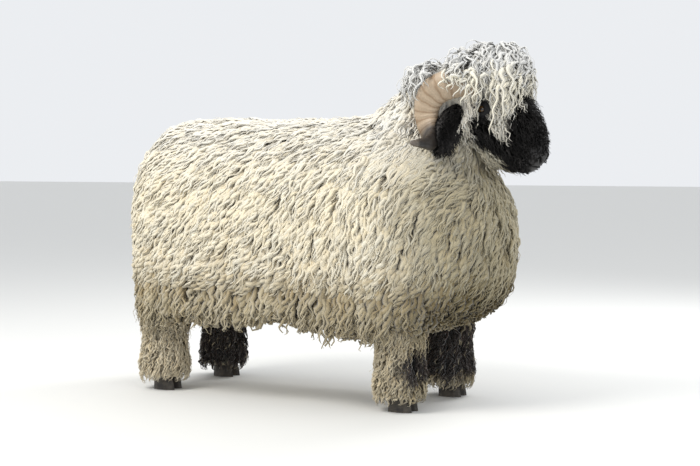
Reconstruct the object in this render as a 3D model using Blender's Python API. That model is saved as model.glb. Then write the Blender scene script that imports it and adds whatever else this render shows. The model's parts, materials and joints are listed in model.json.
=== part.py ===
# A life-size Valais Blacknose ram, standing in full fleece.
# Metres. +X is the way the ram faces, +Y is its left side and +Z is up.
# The origin is on the ground, under the middle of the whole ram.
# Sizes below are measured from the middle of the stance, and finish() moves every
# node back by MIDDLE_X at the end.

import math
import random

import bmesh
import bpy
import numpy as np
from mathutils import Matrix, Vector

# Driving sizes
STANCE_X = 0.415  # from the middle of the stance to the front and hind feet
STANCE_Y = 0.160  # from the middle plane to each foot
CORE_SHARE = 0.5  # how far the solid core of a coat reaches towards its tips
GAP = 0.0003  # between nodes that touch
MIDDLE_X = 0.107  # from the middle of the stance to the middle of the ram's length
SEED = 11

LEFT = 1
RIGHT = -1
HANDS = (("left", LEFT), ("right", RIGHT))
SIDE = Vector((0.0, 1.0, 0.0))
UP = Vector((0.0, 0.0, 1.0))

# The outer forms of the coat. Each row is a station: place of the centre in x and z,
# half width, and the reach from the centre to the upper and to the lower outline.
TORSO = [
    (-0.560, 0.50, 0.010, 0.010, 0.010),
    (-0.545, 0.50, 0.130, 0.170, 0.180),
    (-0.500, 0.50, 0.225, 0.275, 0.275),
    (-0.400, 0.50, 0.280, 0.345, 0.310),
    (-0.250, 0.50, 0.305, 0.353, 0.295),
    (0.000, 0.50, 0.312, 0.345, 0.282),
    (0.220, 0.50, 0.312, 0.345, 0.292),
    (0.420, 0.50, 0.292, 0.320, 0.300),
    (0.560, 0.50, 0.232, 0.220, 0.260),
    (0.650, 0.50, 0.150, 0.130, 0.185),
    (0.695, 0.50, 0.010, 0.010, 0.010),
]
TORSO_SQUARE = (2.3, 3.2)  # how square the section is, above the centre and below it
# Clumps of a coat: its depth, the length and width of a clump, and how far apart
# their roots are along the body and down it.
TORSO_COAT = {"deep": 0.100, "long": 0.300, "wide": 0.236, "apart": 0.198, "below": 0.216}
NECK_COAT = {"deep": 0.070, "long": 0.170, "wide": 0.136, "apart": 0.124, "below": 0.130}
HEAD_COAT = {"deep": 0.034, "long": 0.096, "wide": 0.096, "apart": 0.092, "below": 0.088}
LEG_COAT = {"deep": 0.034, "long": 0.115, "wide": 0.140}
TAIL_COAT = {"deep": 0.022, "long": 0.085, "wide": 0.058, "apart": 0.110, "below": 0.110}
# Stations of a clump: share of its length, height of its middle above the core as a
# share of the coat's outer half, and size of its section.
CLUMP_PATH = ((-0.18, -0.6, 0.6), (0.12, 0.16, 1.0), (0.58, 0.26, 0.8), (1.0, 0.4, 0.0))
CLUMP_SIDES = 5
COLUMN_PHASES = (0.10, 0.58)  # where the first clump of a column grows, by turns
CLUMP_ROUND = 0.84  # thickness of a clump, as a share of the coat's outer half
CLUMP_TWIST = 0.16
LEG_TIERS = (0.205, 0.125)  # heights of the roots of a leg's clumps
LEG_ROUND = 3  # clumps round a leg in each tier
SKIRT_HEIGHT = 0.33  # below this the body's clumps hang straight down
SKIRT_BOTTOM = 0.185
BELLY_REAR = -0.20  # behind this no clumps grow under the belly
BELLY_SLOPE = -0.7  # height of the normal where the belly turns under
THROAT_X = 0.42  # in front of this the neck's clumps hang down over the chest
NECK = [
    (0.250, 0.540, 0.230, 0.230, 0.230),
    (0.380, 0.700, 0.200, 0.200, 0.265),
    (0.470, 0.800, 0.135, 0.172, 0.200),
    (0.530, 0.875, 0.104, 0.150, 0.125),
    (0.570, 0.930, 0.085, 0.098, 0.080),
    (0.600, 0.975, 0.010, 0.010, 0.010),
]
NECK_SQUARE = (2.1, 2.1)

# The head has its own axis, from the poll down to the nose.
POLL = Vector((0.540, 0.0, 0.906))
HEAD_PITCH = math.radians(40)
HEAD_AXIS = Vector((math.cos(HEAD_PITCH), 0.0, -math.sin(HEAD_PITCH)))
HEAD_UP = Vector((math.sin(HEAD_PITCH), 0.0, math.cos(HEAD_PITCH)))
HEAD = [
    # distance along the axis, half width, reach to the bridge and to the jaw, depth of wool
    (-0.050, 0.006, 0.006, 0.006, 0.000),
    (-0.035, 0.045, 0.036, 0.045, 0.020),
    (0.000, 0.062, 0.058, 0.070, 0.040),
    (0.050, 0.070, 0.070, 0.085, 0.045),
    (0.100, 0.070, 0.076, 0.090, 0.040),
    (0.150, 0.061, 0.075, 0.082, 0.038),
    (0.200, 0.053, 0.068, 0.072, 0.034),
    (0.245, 0.049, 0.060, 0.062, 0.024),
    (0.283, 0.046, 0.045, 0.055, 0.008),
    (0.304, 0.036, 0.028, 0.044, 0.000),
    (0.315, 0.006, 0.004, 0.008, 0.000),
]
HEAD_SQUARE = (2.2, 2.2)

# The forelock is a mop of long wool on the brow: place of its middle, and its reach.
MOP_CENTRE = Vector((0.632, 0.0, 0.945))
MOP_REACH = Vector((0.112, 0.112, 0.108))
MOP_CORE = 0.62  # the solid core of the mop, as a share of its reach
MOP_TIERS = (
    # height of the roots as an angle, count of locks, how far their tips hang
    (80, 2, 0.10),
    (46, 6, 0.62),
    (14, 8, 1.00),
)
LOCK_WIDTH = 0.084
LOCK_DEPTH = 0.022
LOCK_PATH = ((0.45, 0.0), (0.84, 0.0), (0.98, 0.18), (0.98, 0.60), (0.92, 1.0))
# at each station of a lock: share of the mop's reach, and how far the lock has fallen

LEG_TOP = 0.270
LEG = [
    # height above the ground, radius to the tips of the wool
    (0.300, 0.076),
    (0.220, 0.074),
    (0.150, 0.070),
    (0.090, 0.078),
    (0.050, 0.076),
    (0.024, 0.062),
    (0.018, 0.010),
]
LEG_ROOM = 0.012  # between a leg's wool and the fleece that hangs round it
LEG_OPEN = 0.055  # how much further the fleece stays away below its lower edge
LEG_OPEN_BELOW = 0.18
TAIL_ROOM = 0.006
WOOL_ROOM = 0.004  # between the wool of the head and the forelock

# The planes that part the body: a point on each plane, and its normal to the front.
NECK_CUT = (Vector((0.27, 0.0, 0.88)), Vector((0.464, 0.0, 0.886)).normalized())
HEAD_CUT = (Vector((0.540, 0.0, 0.83)), Vector((0.934, 0.0, 0.357)).normalized())

# The left horn winds about an axis that points out and a little back and down.
HORN_CENTRE = Vector((0.545, 0.122, 0.832))
HORN_AXIS = Vector((-0.35, 0.88, -0.33)).normalized()
HORN_START = math.radians(62)
HORN_TURN = math.radians(270)
HORN_CURL = (0.088, 0.032)  # radius of the winding at the root and at the tip
HORN_REACH = 0.178  # how far the tip lies out along the axis
HORN_FLARE = 3.2  # above 1 the winding stays tight at first and flares at the tip
HORN_SUNK = 0.085  # how far in the root lies, in the skull
HORN_RADIUS = (0.040, 0.006)
HORN_TAPER = 1.7  # above 1 the horn stays thick at first
HORN_FLATNESS = 0.78  # thickness along the axis of the winding, against the width
HORN_LOOPS = 24
HORN_SIDES = 9
HORN_RIDGE = 0.05  # depth of the growth rings, as a share of the radius

# The left ear hangs inside the curl of the horn: place and half width.
EAR = [
    (0.556, 0.052, 0.866, 0.012),
    (0.550, 0.080, 0.846, 0.020),
    (0.545, 0.103, 0.822, 0.027),
    (0.542, 0.122, 0.795, 0.027),
    (0.542, 0.137, 0.768, 0.018),
    (0.544, 0.147, 0.744, 0.004),
]
EAR_OPENS = Vector((0.75, 0.66, 0.0))
EAR_THICKNESS = 0.006
EAR_CUP = 0.55  # depth of the cup, as a share of the half width

EYE_RADIUS = 0.0150
EYE_ALONG = 0.098
EYE_RISE = 0.012
EYE_OUT = 0.0600
LID_RADIUS = 0.0043
LID_REACH = 0.0183  # from the middle of the eye to its corners
# The opening in the wool at the eye: how far out, half length and half height.
EYE_ROOM = ((0.066, 0.0276, 0.0204), (0.150, 0.0598, 0.0442))
EYE_ROOM_AHEAD = 0.004
LID_ARCHES = (0.86, -0.74)  # rise of the upper and of the lower lid, as a share of their reach

# Sizes on the muzzle, in the head's own space: along the axis, out to the side, rise.
UPPER_LIP = (Vector((0.286, 0.0, -0.002)), Vector((0.026, 0.042, 0.020)))
LOWER_LIP = (Vector((0.282, 0.0, -0.034)), Vector((0.024, 0.037, 0.017)))
MOUTH_RISE = -0.0195
MOUTH_BACK = 0.238
MOUTH_GAPE = 0.0024
MOUTH_DEPTH = 0.007
NOSTRIL = (Vector((0.304, 0.017, 0.012)), Vector((0.014, 0.0048, 0.0065)))

CLAW_LENGTH = 0.076
CLAW_WIDTH = 0.034
CLAW_HEIGHT = 0.050
CLAW_APART = 0.0195  # from the middle of the foot to the middle of each claw
CLAW_AHEAD = 0.012

TAIL = [
    # x, z, radius
    (-0.400, 0.745, 0.030),
    (-0.485, 0.715, 0.040),
    (-0.530, 0.640, 0.042),
    (-0.540, 0.560, 0.038),
    (-0.538, 0.490, 0.026),
    (-0.534, 0.465, 0.005),
]

COLOURS = {
    # colour, roughness
    "wool": ((0.80, 0.74, 0.61), 0.95),
    "black_wool": ((0.03, 0.028, 0.028), 0.85),
    "horn": ((0.56, 0.43, 0.30), 0.55),
    "hoof": ((0.05, 0.045, 0.04), 0.45),
    "eye": ((0.10, 0.06, 0.03), 0.10),
}


def clear_scene():
    for obj in list(bpy.data.objects):
        bpy.data.objects.remove(obj)


def material(name):
    made = bpy.data.materials.get(name)
    if made:
        return made
    colour, roughness = COLOURS[name]
    made = bpy.data.materials.new(name)
    made.use_nodes = True
    shader = made.node_tree.nodes["Principled BSDF"]
    shader.inputs["Base Color"].default_value = (*colour, 1.0)
    shader.inputs["Roughness"].default_value = roughness
    shader.inputs["Metallic"].default_value = 0.0
    return made


def smooth_rows(rows, shares):
    """The rows of a table at these shares of its length, on a curve that never overshoots."""
    table = np.array(rows, float)
    knots = np.linspace(0.0, 1.0, len(table))
    step = np.diff(table, axis=0) / np.diff(knots)[:, None]
    product = step[:-1] * step[1:]
    total = step[:-1] + step[1:]
    slope = np.zeros_like(table)
    slope[1:-1] = np.where(product > 0, 2.0 * product / np.where(total == 0, 1.0, total), 0.0)
    slope[0] = step[0]
    slope[-1] = step[-1]
    shares = np.clip(np.atleast_1d(shares), 0.0, 1.0)
    index = np.clip(np.searchsorted(knots, shares, side="right") - 1, 0, len(table) - 2)
    width = (knots[index + 1] - knots[index])[:, None]
    u = (shares[:, None] - knots[index][:, None]) / width
    return (
        table[index] * (1 + 2 * u) * (1 - u) ** 2
        + slope[index] * width * u * (1 - u) ** 2
        + table[index + 1] * u**2 * (3 - 2 * u)
        + slope[index + 1] * width * u**2 * (u - 1)
    )


class Form:
    """A lofted form: stations of x, y, z, half width, reach up and reach down.
    A place on it is a share of its length and an angle, 0 on the left and a quarter turn on top."""

    def __init__(self, rows, square=(2.0, 2.0)):
        self.rows = rows
        self.powers = (2.0 / square[0], 2.0 / square[1])
        self.grid = None

    def centre(self, share):
        return Vector(smooth_rows(self.rows, share)[0][:3])

    def outline(self, share, angle):
        near = (share, min(share + 0.01, 1.0), max(share - 0.01, 0.0))
        row, ahead, behind = smooth_rows(self.rows, near)
        along = Vector(ahead[:3] - behind[:3]).normalized()
        up = along.cross(SIDE).normalized()
        c, s = math.cos(angle), math.sin(angle)
        power, reach = (self.powers[0], row[4]) if s > 0 else (self.powers[1], row[5])
        out = math.copysign(abs(c) ** power, c)
        rise = math.copysign(abs(s) ** power, s)
        return Vector(row[:3]) + SIDE * (row[3] * out) + up * (reach * rise)

    def normal(self, share, angle):
        step = 0.02
        ahead = self.outline(min(share + step, 1.0), angle)
        behind = self.outline(max(share - step, 0.0), angle)
        after = self.outline(share, angle + step * 2)
        before = self.outline(share, angle - step * 2)
        return (after - before).cross(ahead - behind).normalized()

    def place(self, share, angle, inset=0.0):
        return self.outline(share, angle) - self.normal(share, angle) * inset

    def foot(self, point):
        """The surface next to a point: where a line from the point meets it, and its normal."""
        if self.grid is None:
            shares = np.linspace(0.02, 0.98, 40)
            turns = np.linspace(0.0, 2 * math.pi, 48, endpoint=False)
            spots = [(t, a) for t in shares for a in turns]
            places = np.array([self.outline(t, a) for t, a in spots])
            self.grid = (spots, places)
        spots, places = self.grid
        nearest = int(np.argmin(np.linalg.norm(places - np.array(point), axis=1)))
        normal = self.normal(*spots[nearest])
        away = (point - Vector(places[nearest])).dot(normal)
        return point - normal * away, normal

    def solid(self, name, rings, sides, inset=0.0):
        shares = [i / (rings - 1) for i in range(1, rings - 1)]
        turns = [2 * math.pi * k / sides for k in range(sides)]
        loops = [[self.place(t, a, inset) for a in turns] for t in shares]
        first, last = self.centre(0.0), self.centre(1.0)
        reach = (last - first).normalized() * inset
        return tube(name, loops, first + reach, last - reach)


def flat_rows(rows):
    """Stations given as x, z and sizes, on the middle plane."""
    return [(row[0], 0.0, *row[1:]) for row in rows]


def tube(name, loops, first=None, last=None):
    """A closed mesh through loops of points, each end brought to a point or capped flat."""
    count = len(loops[0])
    points = [p for loop in loops for p in loop]
    faces = []
    for i in range(len(loops) - 1):
        for k in range(count):
            a, b = i * count + k, i * count + (k + 1) % count
            faces += [(a, b, b + count), (a, b + count, a + count)]
    start = list(range(count))
    end = [(len(loops) - 1) * count + k for k in range(count)]
    if first is None:
        faces.append(tuple(reversed(start)))
    else:
        points.append(first)
        faces += [(len(points) - 1, start[(k + 1) % count], start[k]) for k in range(count)]
    if last is None:
        faces.append(tuple(end))
    else:
        points.append(last)
        faces += [(len(points) - 1, end[k], end[(k + 1) % count]) for k in range(count)]
    mesh = bpy.data.meshes.new(name)
    mesh.from_pydata([tuple(p) for p in points], [], faces)
    mesh.validate()
    if signed_volume(mesh) < 0:
        mesh.flip_normals()
    obj = bpy.data.objects.new(name, mesh)
    bpy.context.scene.collection.objects.link(obj)
    return obj


def signed_volume(mesh):
    mesh.calc_loop_triangles()
    points = np.array([v.co for v in mesh.vertices], float)
    corners = np.array([t.vertices for t in mesh.loop_triangles])
    return float(np.linalg.det(points[corners]).sum())


def boolean(obj, operation, others, solver="EXACT"):
    """Joins the others to obj, cuts them from it, or keeps what lies in them. They are used up."""
    group = bpy.data.collections.new("pieces")
    bpy.context.scene.collection.children.link(group)
    for other in others:
        bpy.context.scene.collection.objects.unlink(other)
        group.objects.link(other)
    modifier = obj.modifiers.new("combine", "BOOLEAN")
    modifier.operation = operation
    modifier.operand_type = "COLLECTION"
    modifier.collection = group
    modifier.solver = solver
    graph = bpy.context.evaluated_depsgraph_get()
    mesh = bpy.data.meshes.new_from_object(obj.evaluated_get(graph))
    obj.modifiers.clear()
    obj.data = mesh
    for other in list(group.objects):
        bpy.data.objects.remove(other)
    bpy.data.collections.remove(group)
    return obj


def keep_largest(obj):
    """Keeps the largest closed surface of the mesh."""
    mesh = obj.data
    parent = list(range(len(mesh.vertices)))

    def root(i):
        while parent[i] != i:
            parent[i] = parent[parent[i]]
            i = parent[i]
        return i

    for edge in mesh.edges:
        a, b = (root(i) for i in edge.vertices)
        parent[a] = b
    groups = {}
    for polygon in mesh.polygons:
        groups.setdefault(root(polygon.vertices[0]), []).append(tuple(polygon.vertices))
    if len(groups) < 2:
        return obj
    surfaces = []
    for faces in groups.values():
        used = sorted({v for face in faces for v in face})
        place = {v: i for i, v in enumerate(used)}
        kept = bpy.data.meshes.new(obj.name)
        corners = [tuple(place[v] for v in face) for face in faces]
        kept.from_pydata([tuple(mesh.vertices[v].co) for v in used], [], corners)
        surfaces.append((signed_volume(kept), kept))
    obj.data = max(surfaces, key=lambda pair: pair[0])[1]
    return obj


def beyond(cut, forward, offset=GAP / 2):
    """A large block that fills the space in front of the plane of a cut, or behind it."""
    point, normal = cut
    size = 2.0
    facing = normal if forward else -normal
    across = facing.cross(SIDE).normalized()
    loops = []
    for distance in (offset, offset + size):
        centre = point + facing * distance
        corners = ((1, 1), (-1, 1), (-1, -1), (1, -1))
        loops.append([centre + across * (i * size) + SIDE * (j * size) for i, j in corners])
    return tube("beyond", loops)


def spaced(curve, first, last, apart, phase):
    """Parameters along a curve whose places are evenly spread, about this far apart."""
    params = np.linspace(first, last, 90)
    points = np.array([curve(p) for p in params])
    run = np.concatenate([[0.0], np.cumsum(np.linalg.norm(np.diff(points, axis=0), axis=1))])
    count = max(1, round(run[-1] / apart))
    wanted = (np.arange(count) + phase) * run[-1] / count
    return [float(p) for p in np.interp(wanted, run, params)]


def lie_of(place, normal):
    """The way the wool lies: off the spine to its own side, down the flanks and a little back."""
    away = 1.0 if place.y > 0 else -1.0
    top = max(0.0, normal.z)
    wanted = Vector((-0.30 - 0.3 * top, away * 0.9 * top, -1.0))
    if normal.z < BELLY_SLOPE:
        return Vector((-0.95, away * 0.2, -0.12)).normalized()
    along = wanted - normal * wanted.dot(normal)
    if place.z < SKIRT_HEIGHT:
        along = along + Vector((0.0, 0.0, -0.6))
    return along.normalized()


def clump(form, place, lie, coat, draw):
    """A rounded clump of wool. Its root is sunk in the core and it follows the coat's form."""
    deep = coat["deep"] * (1.0 - CORE_SHARE)
    length = coat["long"] * draw.uniform(0.86, 1.14)
    width = coat["wide"] * draw.uniform(0.88, 1.12)
    twist = draw.uniform(-CLUMP_TWIST, CLUMP_TWIST)
    hangs = place.z < SKIRT_HEIGHT and form.centre(0.5).z > SKIRT_HEIGHT
    if hangs:
        length = max(0.4 * length, min(length, (SKIRT_BOTTOM - place.z) / lie.z))
    root, facing = form.foot(place)
    step = facing.cross(lie).normalized()
    loops = []
    for along, height, size in CLUMP_PATH:
        loop = []
        for k in range(CLUMP_SIDES):
            angle = 2 * math.pi * (k + 0.25) / CLUMP_SIDES
            edge = root + step * (length * twist * along + math.cos(angle) * width / 2 * size)
            down = lie * (length * along)
            foot, out = form.foot(edge if hangs else edge + down)
            level = height - 1.0 + math.sin(angle) * CLUMP_ROUND * size
            loop.append((foot + down if hangs else foot) + out * (deep * level))
        loops.append(loop)
    tip = loops.pop()[0]
    return tube("clump", loops, last=tip)


def clumps_on(form, coat, draw, turns=(90, -90), grows=None):
    """Clumps over both sides of a form, in columns along it, each column set between the last."""
    made = []
    columns = spaced(lambda t: form.outline(t, 0.0), 0.0, 1.0, coat["apart"], 0.5)
    for side in (LEFT, RIGHT):
        for number, share in enumerate(columns):
            phase = COLUMN_PHASES[number % 2]
            first, last = (math.radians(t) for t in turns)
            for turn in spaced(lambda a: form.outline(share, a), first, last, coat["below"], phase):
                near = share + draw.uniform(-0.008, 0.008)
                angle = turn if side == LEFT else math.pi - turn
                place = form.outline(near, angle)
                normal = form.normal(near, angle)
                if grows is None or grows(place, normal):
                    made.append(clump(form, place, lie_of(place, normal), coat, draw))
    return made


def ahead_of(place, cut):
    """How far a place lies in front of the plane of a cut."""
    return (place - cut[0]).dot(cut[1])


def lock(path, across, draw):
    """A flat lock of long wool along a path, widest past its root and tapered to its tip."""
    rings, sides = 4, 4
    width = LOCK_WIDTH * draw.uniform(0.85, 1.2)
    loops = []
    for i in range(rings):
        share = i / rings
        here, ahead = (Vector(p) for p in smooth_rows(path, (share, share + 0.08)))
        out = across.cross(ahead - here).normalized()
        size = (1.0 - share) ** 0.5 * (0.8 + 0.3 * math.sin(math.pi * share))
        loop = []
        for k in range(sides):
            angle = 2 * math.pi * (k + 0.5) / sides
            side_step = across * (math.cos(angle) * width * 0.7 * size)
            loop.append(here + side_step + out * (math.sin(angle) * LOCK_DEPTH * 0.7 * size))
        loops.append(loop)
    return tube("lock", loops, last=Vector(path[-1]))


def mop_locks(draw):
    """Tiers of locks that rise from the brow and fall over on every side."""
    made = []
    for height, count, hang in MOP_TIERS:
        rise = math.radians(height)
        for i in range(count):
            turn = 2 * math.pi * (i + 0.5 * (height < 40)) / count + draw.uniform(-0.12, 0.12)
            level = Vector((math.cos(turn), math.sin(turn), 0.0))
            way = level * math.cos(rise) + UP * math.sin(rise)
            reach = draw.uniform(0.94, 1.04)
            path = []
            for out, fall in LOCK_PATH:
                step = way * (1.0 - fall * 0.7) + level * (fall * 0.7)
                step = step.normalized() * (out * reach) - UP * (fall * hang * 0.9)
                spot = [c + r * d for c, r, d in zip(MOP_CENTRE, MOP_REACH, step)]
                path.append(tuple(spot))
            made.append(lock(path, Vector((-math.sin(turn), math.cos(turn), 0.0)), draw))
    return made


def in_triangles(mesh):
    """Splits every face into triangles. Where two faces would be split along the same line,
    one of them is split from a new point in its middle, so each edge keeps just two faces."""
    work = bmesh.new()
    work.from_mesh(mesh)
    for _ in range(4):
        split = work.copy()
        bmesh.ops.triangulate(split, faces=split.faces, ngon_method="BEAUTY")
        twice = [{v.index for v in edge.verts} for edge in split.edges if len(edge.link_faces) != 2]
        tried = bpy.data.meshes.new(mesh.name)
        split.to_mesh(tried)
        split.free()
        if not twice:
            break
        chosen = []
        for pair in twice:
            shared = [f for f in work.faces if pair <= {v.index for v in f.verts}]
            across = [f for f in shared if all(pair != {v.index for v in e.verts} for e in f.edges)]
            chosen += sorted(across, key=lambda f: len(f.verts))[:1]
        bmesh.ops.poke(work, faces=list(set(chosen)))
        work.verts.index_update()
    work.free()
    return tried


def finish(obj, name, finish_name):
    """Names a node, gives it its material and brings it to the row's origin."""
    obj.name = name
    obj.data = in_triangles(obj.data)
    obj.data.name = name
    obj.data.materials.clear()
    obj.data.materials.append(material(finish_name))
    obj.data.shade_smooth()
    obj.data.set_sharp_from_angle(angle=math.radians(40))
    obj.data.transform(Matrix.Translation((-MIDDLE_X, 0.0, 0.0)))
    return obj


def horn_frame():
    """Two directions across the horn's axis: towards the front, and up."""
    front = (Vector((1.0, 0.0, 0.0)) - HORN_AXIS * HORN_AXIS.x).normalized()
    return front, front.cross(HORN_AXIS).normalized()


def horn_place(share):
    """The middle of the left horn and its radius, at a share of the way to the tip."""
    front, up = horn_frame()
    angle = HORN_START + HORN_TURN * share
    curl = HORN_CURL[0] + (HORN_CURL[1] - HORN_CURL[0]) * max(share, 0.0) ** 1.5
    out = HORN_REACH * max(share, 0.0) ** HORN_FLARE - HORN_SUNK * (1.0 - share) ** 8
    centre = HORN_CENTRE + HORN_AXIS * out
    centre += front * (curl * math.cos(angle)) + up * (curl * math.sin(angle))
    radius = HORN_RADIUS[0] + (HORN_RADIUS[1] - HORN_RADIUS[0]) * max(share, 0.0) ** HORN_TAPER
    return centre, radius


def horn_solid(side, name, grow=0.0):
    loops = []
    step = 0.01
    for i in range(HORN_LOOPS):
        share = 0.995 * i / (HORN_LOOPS - 1)
        centre, radius = horn_place(share)
        along = (horn_place(share + step)[0] - horn_place(share - step)[0]).normalized()
        across = along.cross(HORN_AXIS).normalized()
        out = across.cross(along)
        if i == 0:
            centre = centre - along * grow
        if i == HORN_LOOPS - 1:
            centre = centre + along * grow
        ridge = 1.0 + HORN_RIDGE * (1.0 - share) * (1 if i % 2 else -1)
        loop = []
        for k in range(HORN_SIDES):
            angle = 2 * math.pi * k / HORN_SIDES
            point = centre + across * (math.cos(angle) * (radius * ridge + grow))
            point += out * (math.sin(angle) * (radius * ridge * HORN_FLATNESS + grow))
            loop.append(Vector((point.x, side * point.y, point.z)))
        loops.append(loop)
    return tube(name, loops)


def ear_solid(side, name, grow=0.0):
    """The cupped ear: each section is a crescent that opens forward and out."""
    points_across = 5
    loops = []
    for share in (0.0, 0.16, 0.33, 0.5, 0.67, 0.84, 1.0):
        near = (share, min(1.0, share + 0.04), max(0.0, share - 0.04))
        row, ahead, behind = smooth_rows(EAR, near)
        along = Vector(ahead[:3] - behind[:3]).normalized()
        opening = (EAR_OPENS - along * EAR_OPENS.dot(along)).normalized()
        across = along.cross(opening).normalized()
        width = row[3] + 2 * grow
        thickness = min(EAR_THICKNESS, row[3]) + 4 * grow
        end = {0.0: -grow, 1.0: grow}.get(share, 0.0)
        centre = Vector(row[:3]) + along * end
        outer, inner = [], []
        for k in range(points_across):
            u = -1.0 + 2.0 * k / (points_across - 1)
            cup = row[3] * EAR_CUP * (1.0 - u * u)
            edge = centre + across * (width * u) - opening * cup
            outer.append(edge - opening * (thickness / 2))
            inner.append(edge + opening * (thickness / 2))
        loop = outer + list(reversed(inner))
        loops.append([Vector((p.x, side * p.y, p.z)) for p in loop])
    return tube(name, loops)


def eye_centre(side):
    return POLL + HEAD_AXIS * EYE_ALONG + HEAD_UP * EYE_RISE + SIDE * (side * EYE_OUT)


def ball(name, centre, reach, rings=8, sides=12):
    """A ball or an egg, its poles to the sides."""
    loops = []
    for i in range(1, rings):
        polar = math.pi * i / rings
        loop = []
        for k in range(sides):
            angle = 2 * math.pi * k / sides
            x = math.sin(polar) * math.cos(angle) * reach[0]
            z = math.sin(polar) * math.sin(angle) * reach[2]
            loop.append(centre + Vector((x, math.cos(polar) * reach[1], z)))
        loops.append(loop)
    return tube(name, loops, centre + SIDE * reach[1], centre - SIDE * reach[1])


def eye_solid(side, name, grow=0.0):
    reach = EYE_RADIUS + grow
    return ball(name, eye_centre(side), (reach, reach, reach))


def in_head(obj):
    """Brings a piece from the head's own space to its place."""
    turn = Matrix((HEAD_AXIS, SIDE, HEAD_UP)).transposed().to_4x4()
    obj.data.transform(Matrix.Translation(POLL) @ turn)
    return obj


def lids(side):
    """The upper and the lower lid, rolls that meet at the corners of the eye."""
    made = []
    centre = Vector((EYE_ALONG, side * EYE_OUT, EYE_RISE))
    for arch in LID_ARCHES:
        loops = []
        for i in range(9):
            turn = math.pi * i / 8
            fore, rise = math.cos(turn), math.sin(turn) * arch
            out = math.sqrt(max(0.0, 1.0 - fore * fore * 0.9 - rise * rise)) * 0.95
            middle = centre + Vector((fore, side * out, rise)) * LID_REACH
            round_way = Vector((-math.sin(turn), 0.0, math.cos(turn) * arch)).normalized()
            outward = Vector((fore * 0.3, side, rise * 0.6)).normalized()
            across = round_way.cross(outward).normalized()
            loop = []
            for k in range(6):
                angle = 2 * math.pi * k / 6
                offset = outward * math.cos(angle) + across * math.sin(angle)
                loop.append(middle + offset * LID_RADIUS)
            loops.append(loop)
        made.append(in_head(tube("lid", loops)))
    return made


def eye_room(side):
    """The opening in the wool in front of the eye."""
    loops = []
    for out, half_length, half_height in EYE_ROOM:
        loop = []
        for k in range(12):
            angle = 2 * math.pi * k / 12
            fore = EYE_ALONG + EYE_ROOM_AHEAD + math.cos(angle) * half_length
            loop.append(Vector((fore, side * out, EYE_RISE + math.sin(angle) * half_height)))
        loops.append(loop)
    return in_head(tube("room", loops))


def mouth():
    """The line between the lips: a thin plate, hollow but for the depth of the line."""
    ahead = 0.36
    reach = Vector(((ahead - MOUTH_BACK) / 2, 0.08, MOUTH_GAPE / 2))
    centre = Vector(((ahead + MOUTH_BACK) / 2, 0.0, MOUTH_RISE))
    corners = ((1, 1), (-1, 1), (-1, -1), (1, -1))
    loops = []
    for level in (-1, 1):
        loop = []
        for i, j in corners:
            loop.append(centre + Vector((i * reach.x, j * reach.y, level * reach.z)))
        loops.append(loop)
    plate = in_head(tube("mouth", loops))
    inner = [lip_solid(LOWER_LIP, -MOUTH_DEPTH), lip_solid(UPPER_LIP, -MOUTH_DEPTH)]
    inner.append(head_form(0.0).solid("inner", rings=19, sides=16, inset=MOUTH_DEPTH))
    return boolean(plate, "DIFFERENCE", inner, "MANIFOLD")


def lip_solid(lip, grow=0.0):
    centre, reach = lip
    return in_head(ball("lip", centre, reach + Vector((grow, grow, grow)), rings=8, sides=12))


def nostril(side):
    centre, reach = NOSTRIL
    place = Vector((centre.x, side * centre.y, centre.z))
    return in_head(ball("nostril", place, reach, rings=6, sides=8))


def claw_solid(x, y, name, grow=0.0):
    """One claw of a cloven hoof: flat below, round at the heel and drawn out at the toe."""
    sides = 12
    levels = ((0.0, 1.0, 0.0), (0.5, 0.94, -0.05), (1.0, 0.80, -0.12))
    loops = []
    for height, scale, lean in levels:
        lift = grow * (2 * height - 1)
        loop = []
        for k in range(sides):
            angle = 2 * math.pi * k / sides
            c, s = math.cos(angle), math.sin(angle)
            ahead = CLAW_LENGTH / 2 * (c * scale + lean) + grow * 1.5 * c
            across = CLAW_WIDTH / 2 * s * scale * (1.0 - 0.15 * c) + grow * 1.5 * s
            loop.append(Vector((x + ahead, y + across, CLAW_HEIGHT * height + lift)))
        loops.append(loop)
    return tube(name, loops)


def claws_of(x, y, grow=0.0):
    made = []
    for which, offset in (("outer", CLAW_APART), ("inner", -CLAW_APART)):
        out = offset if y > 0 else -offset
        made.append(claw_solid(x + CLAW_AHEAD, y + out, which, grow))
    return made


def head_form(wool_share):
    rows = []
    for along, width, up, down, wool in HEAD:
        centre = POLL + HEAD_AXIS * along
        deep = wool * wool_share
        rows.append((*centre, width + deep, up + deep, down + deep))
    return Form(rows, HEAD_SQUARE)


def leg_form(x, y, grow=0.0):
    rows = [(x, y, height, r + grow, r + grow, r + grow) for height, r in LEG]
    return Form(rows)


def leg_room(x, y, grow):
    """The space that the fleece leaves round a leg: close above, and open below its edge."""
    rows = []
    for height, radius in LEG:
        reach = radius + grow + (LEG_OPEN if height < LEG_OPEN_BELOW else 0.0)
        rows.append((x, y, height, reach, reach, reach))
    return Form(rows).solid("room", rings=6, sides=12)


def leg_coat(x, y, draw):
    """Clumps down a leg, in tiers. None hangs lower than the hoof's edge."""
    form = leg_form(x, y)
    made = []
    for tier, height in enumerate(LEG_TIERS):
        share = leg_share(height)
        for k in range(LEG_ROUND):
            turn = k + 0.5 * (tier % 2) + draw.uniform(-0.1, 0.1)
            place = form.outline(share, 2 * math.pi * turn / LEG_ROUND)
            made.append(clump(form, place, Vector((-0.08, 0.0, -1.0)), LEG_COAT, draw))
    return made


def leg_share(height):
    """The share of a leg's form at this height above the ground."""
    shares = np.linspace(0.0, 1.0, 200)
    heights = smooth_rows([(h, r) for h, r in LEG], shares)[:, 0]
    return float(shares[int(np.argmin(np.abs(heights - height)))])


def tail_form(grow=0.0):
    return Form(flat_rows([(x, z, r + grow, r + grow, r + grow) for x, z, r in TAIL]))


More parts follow.
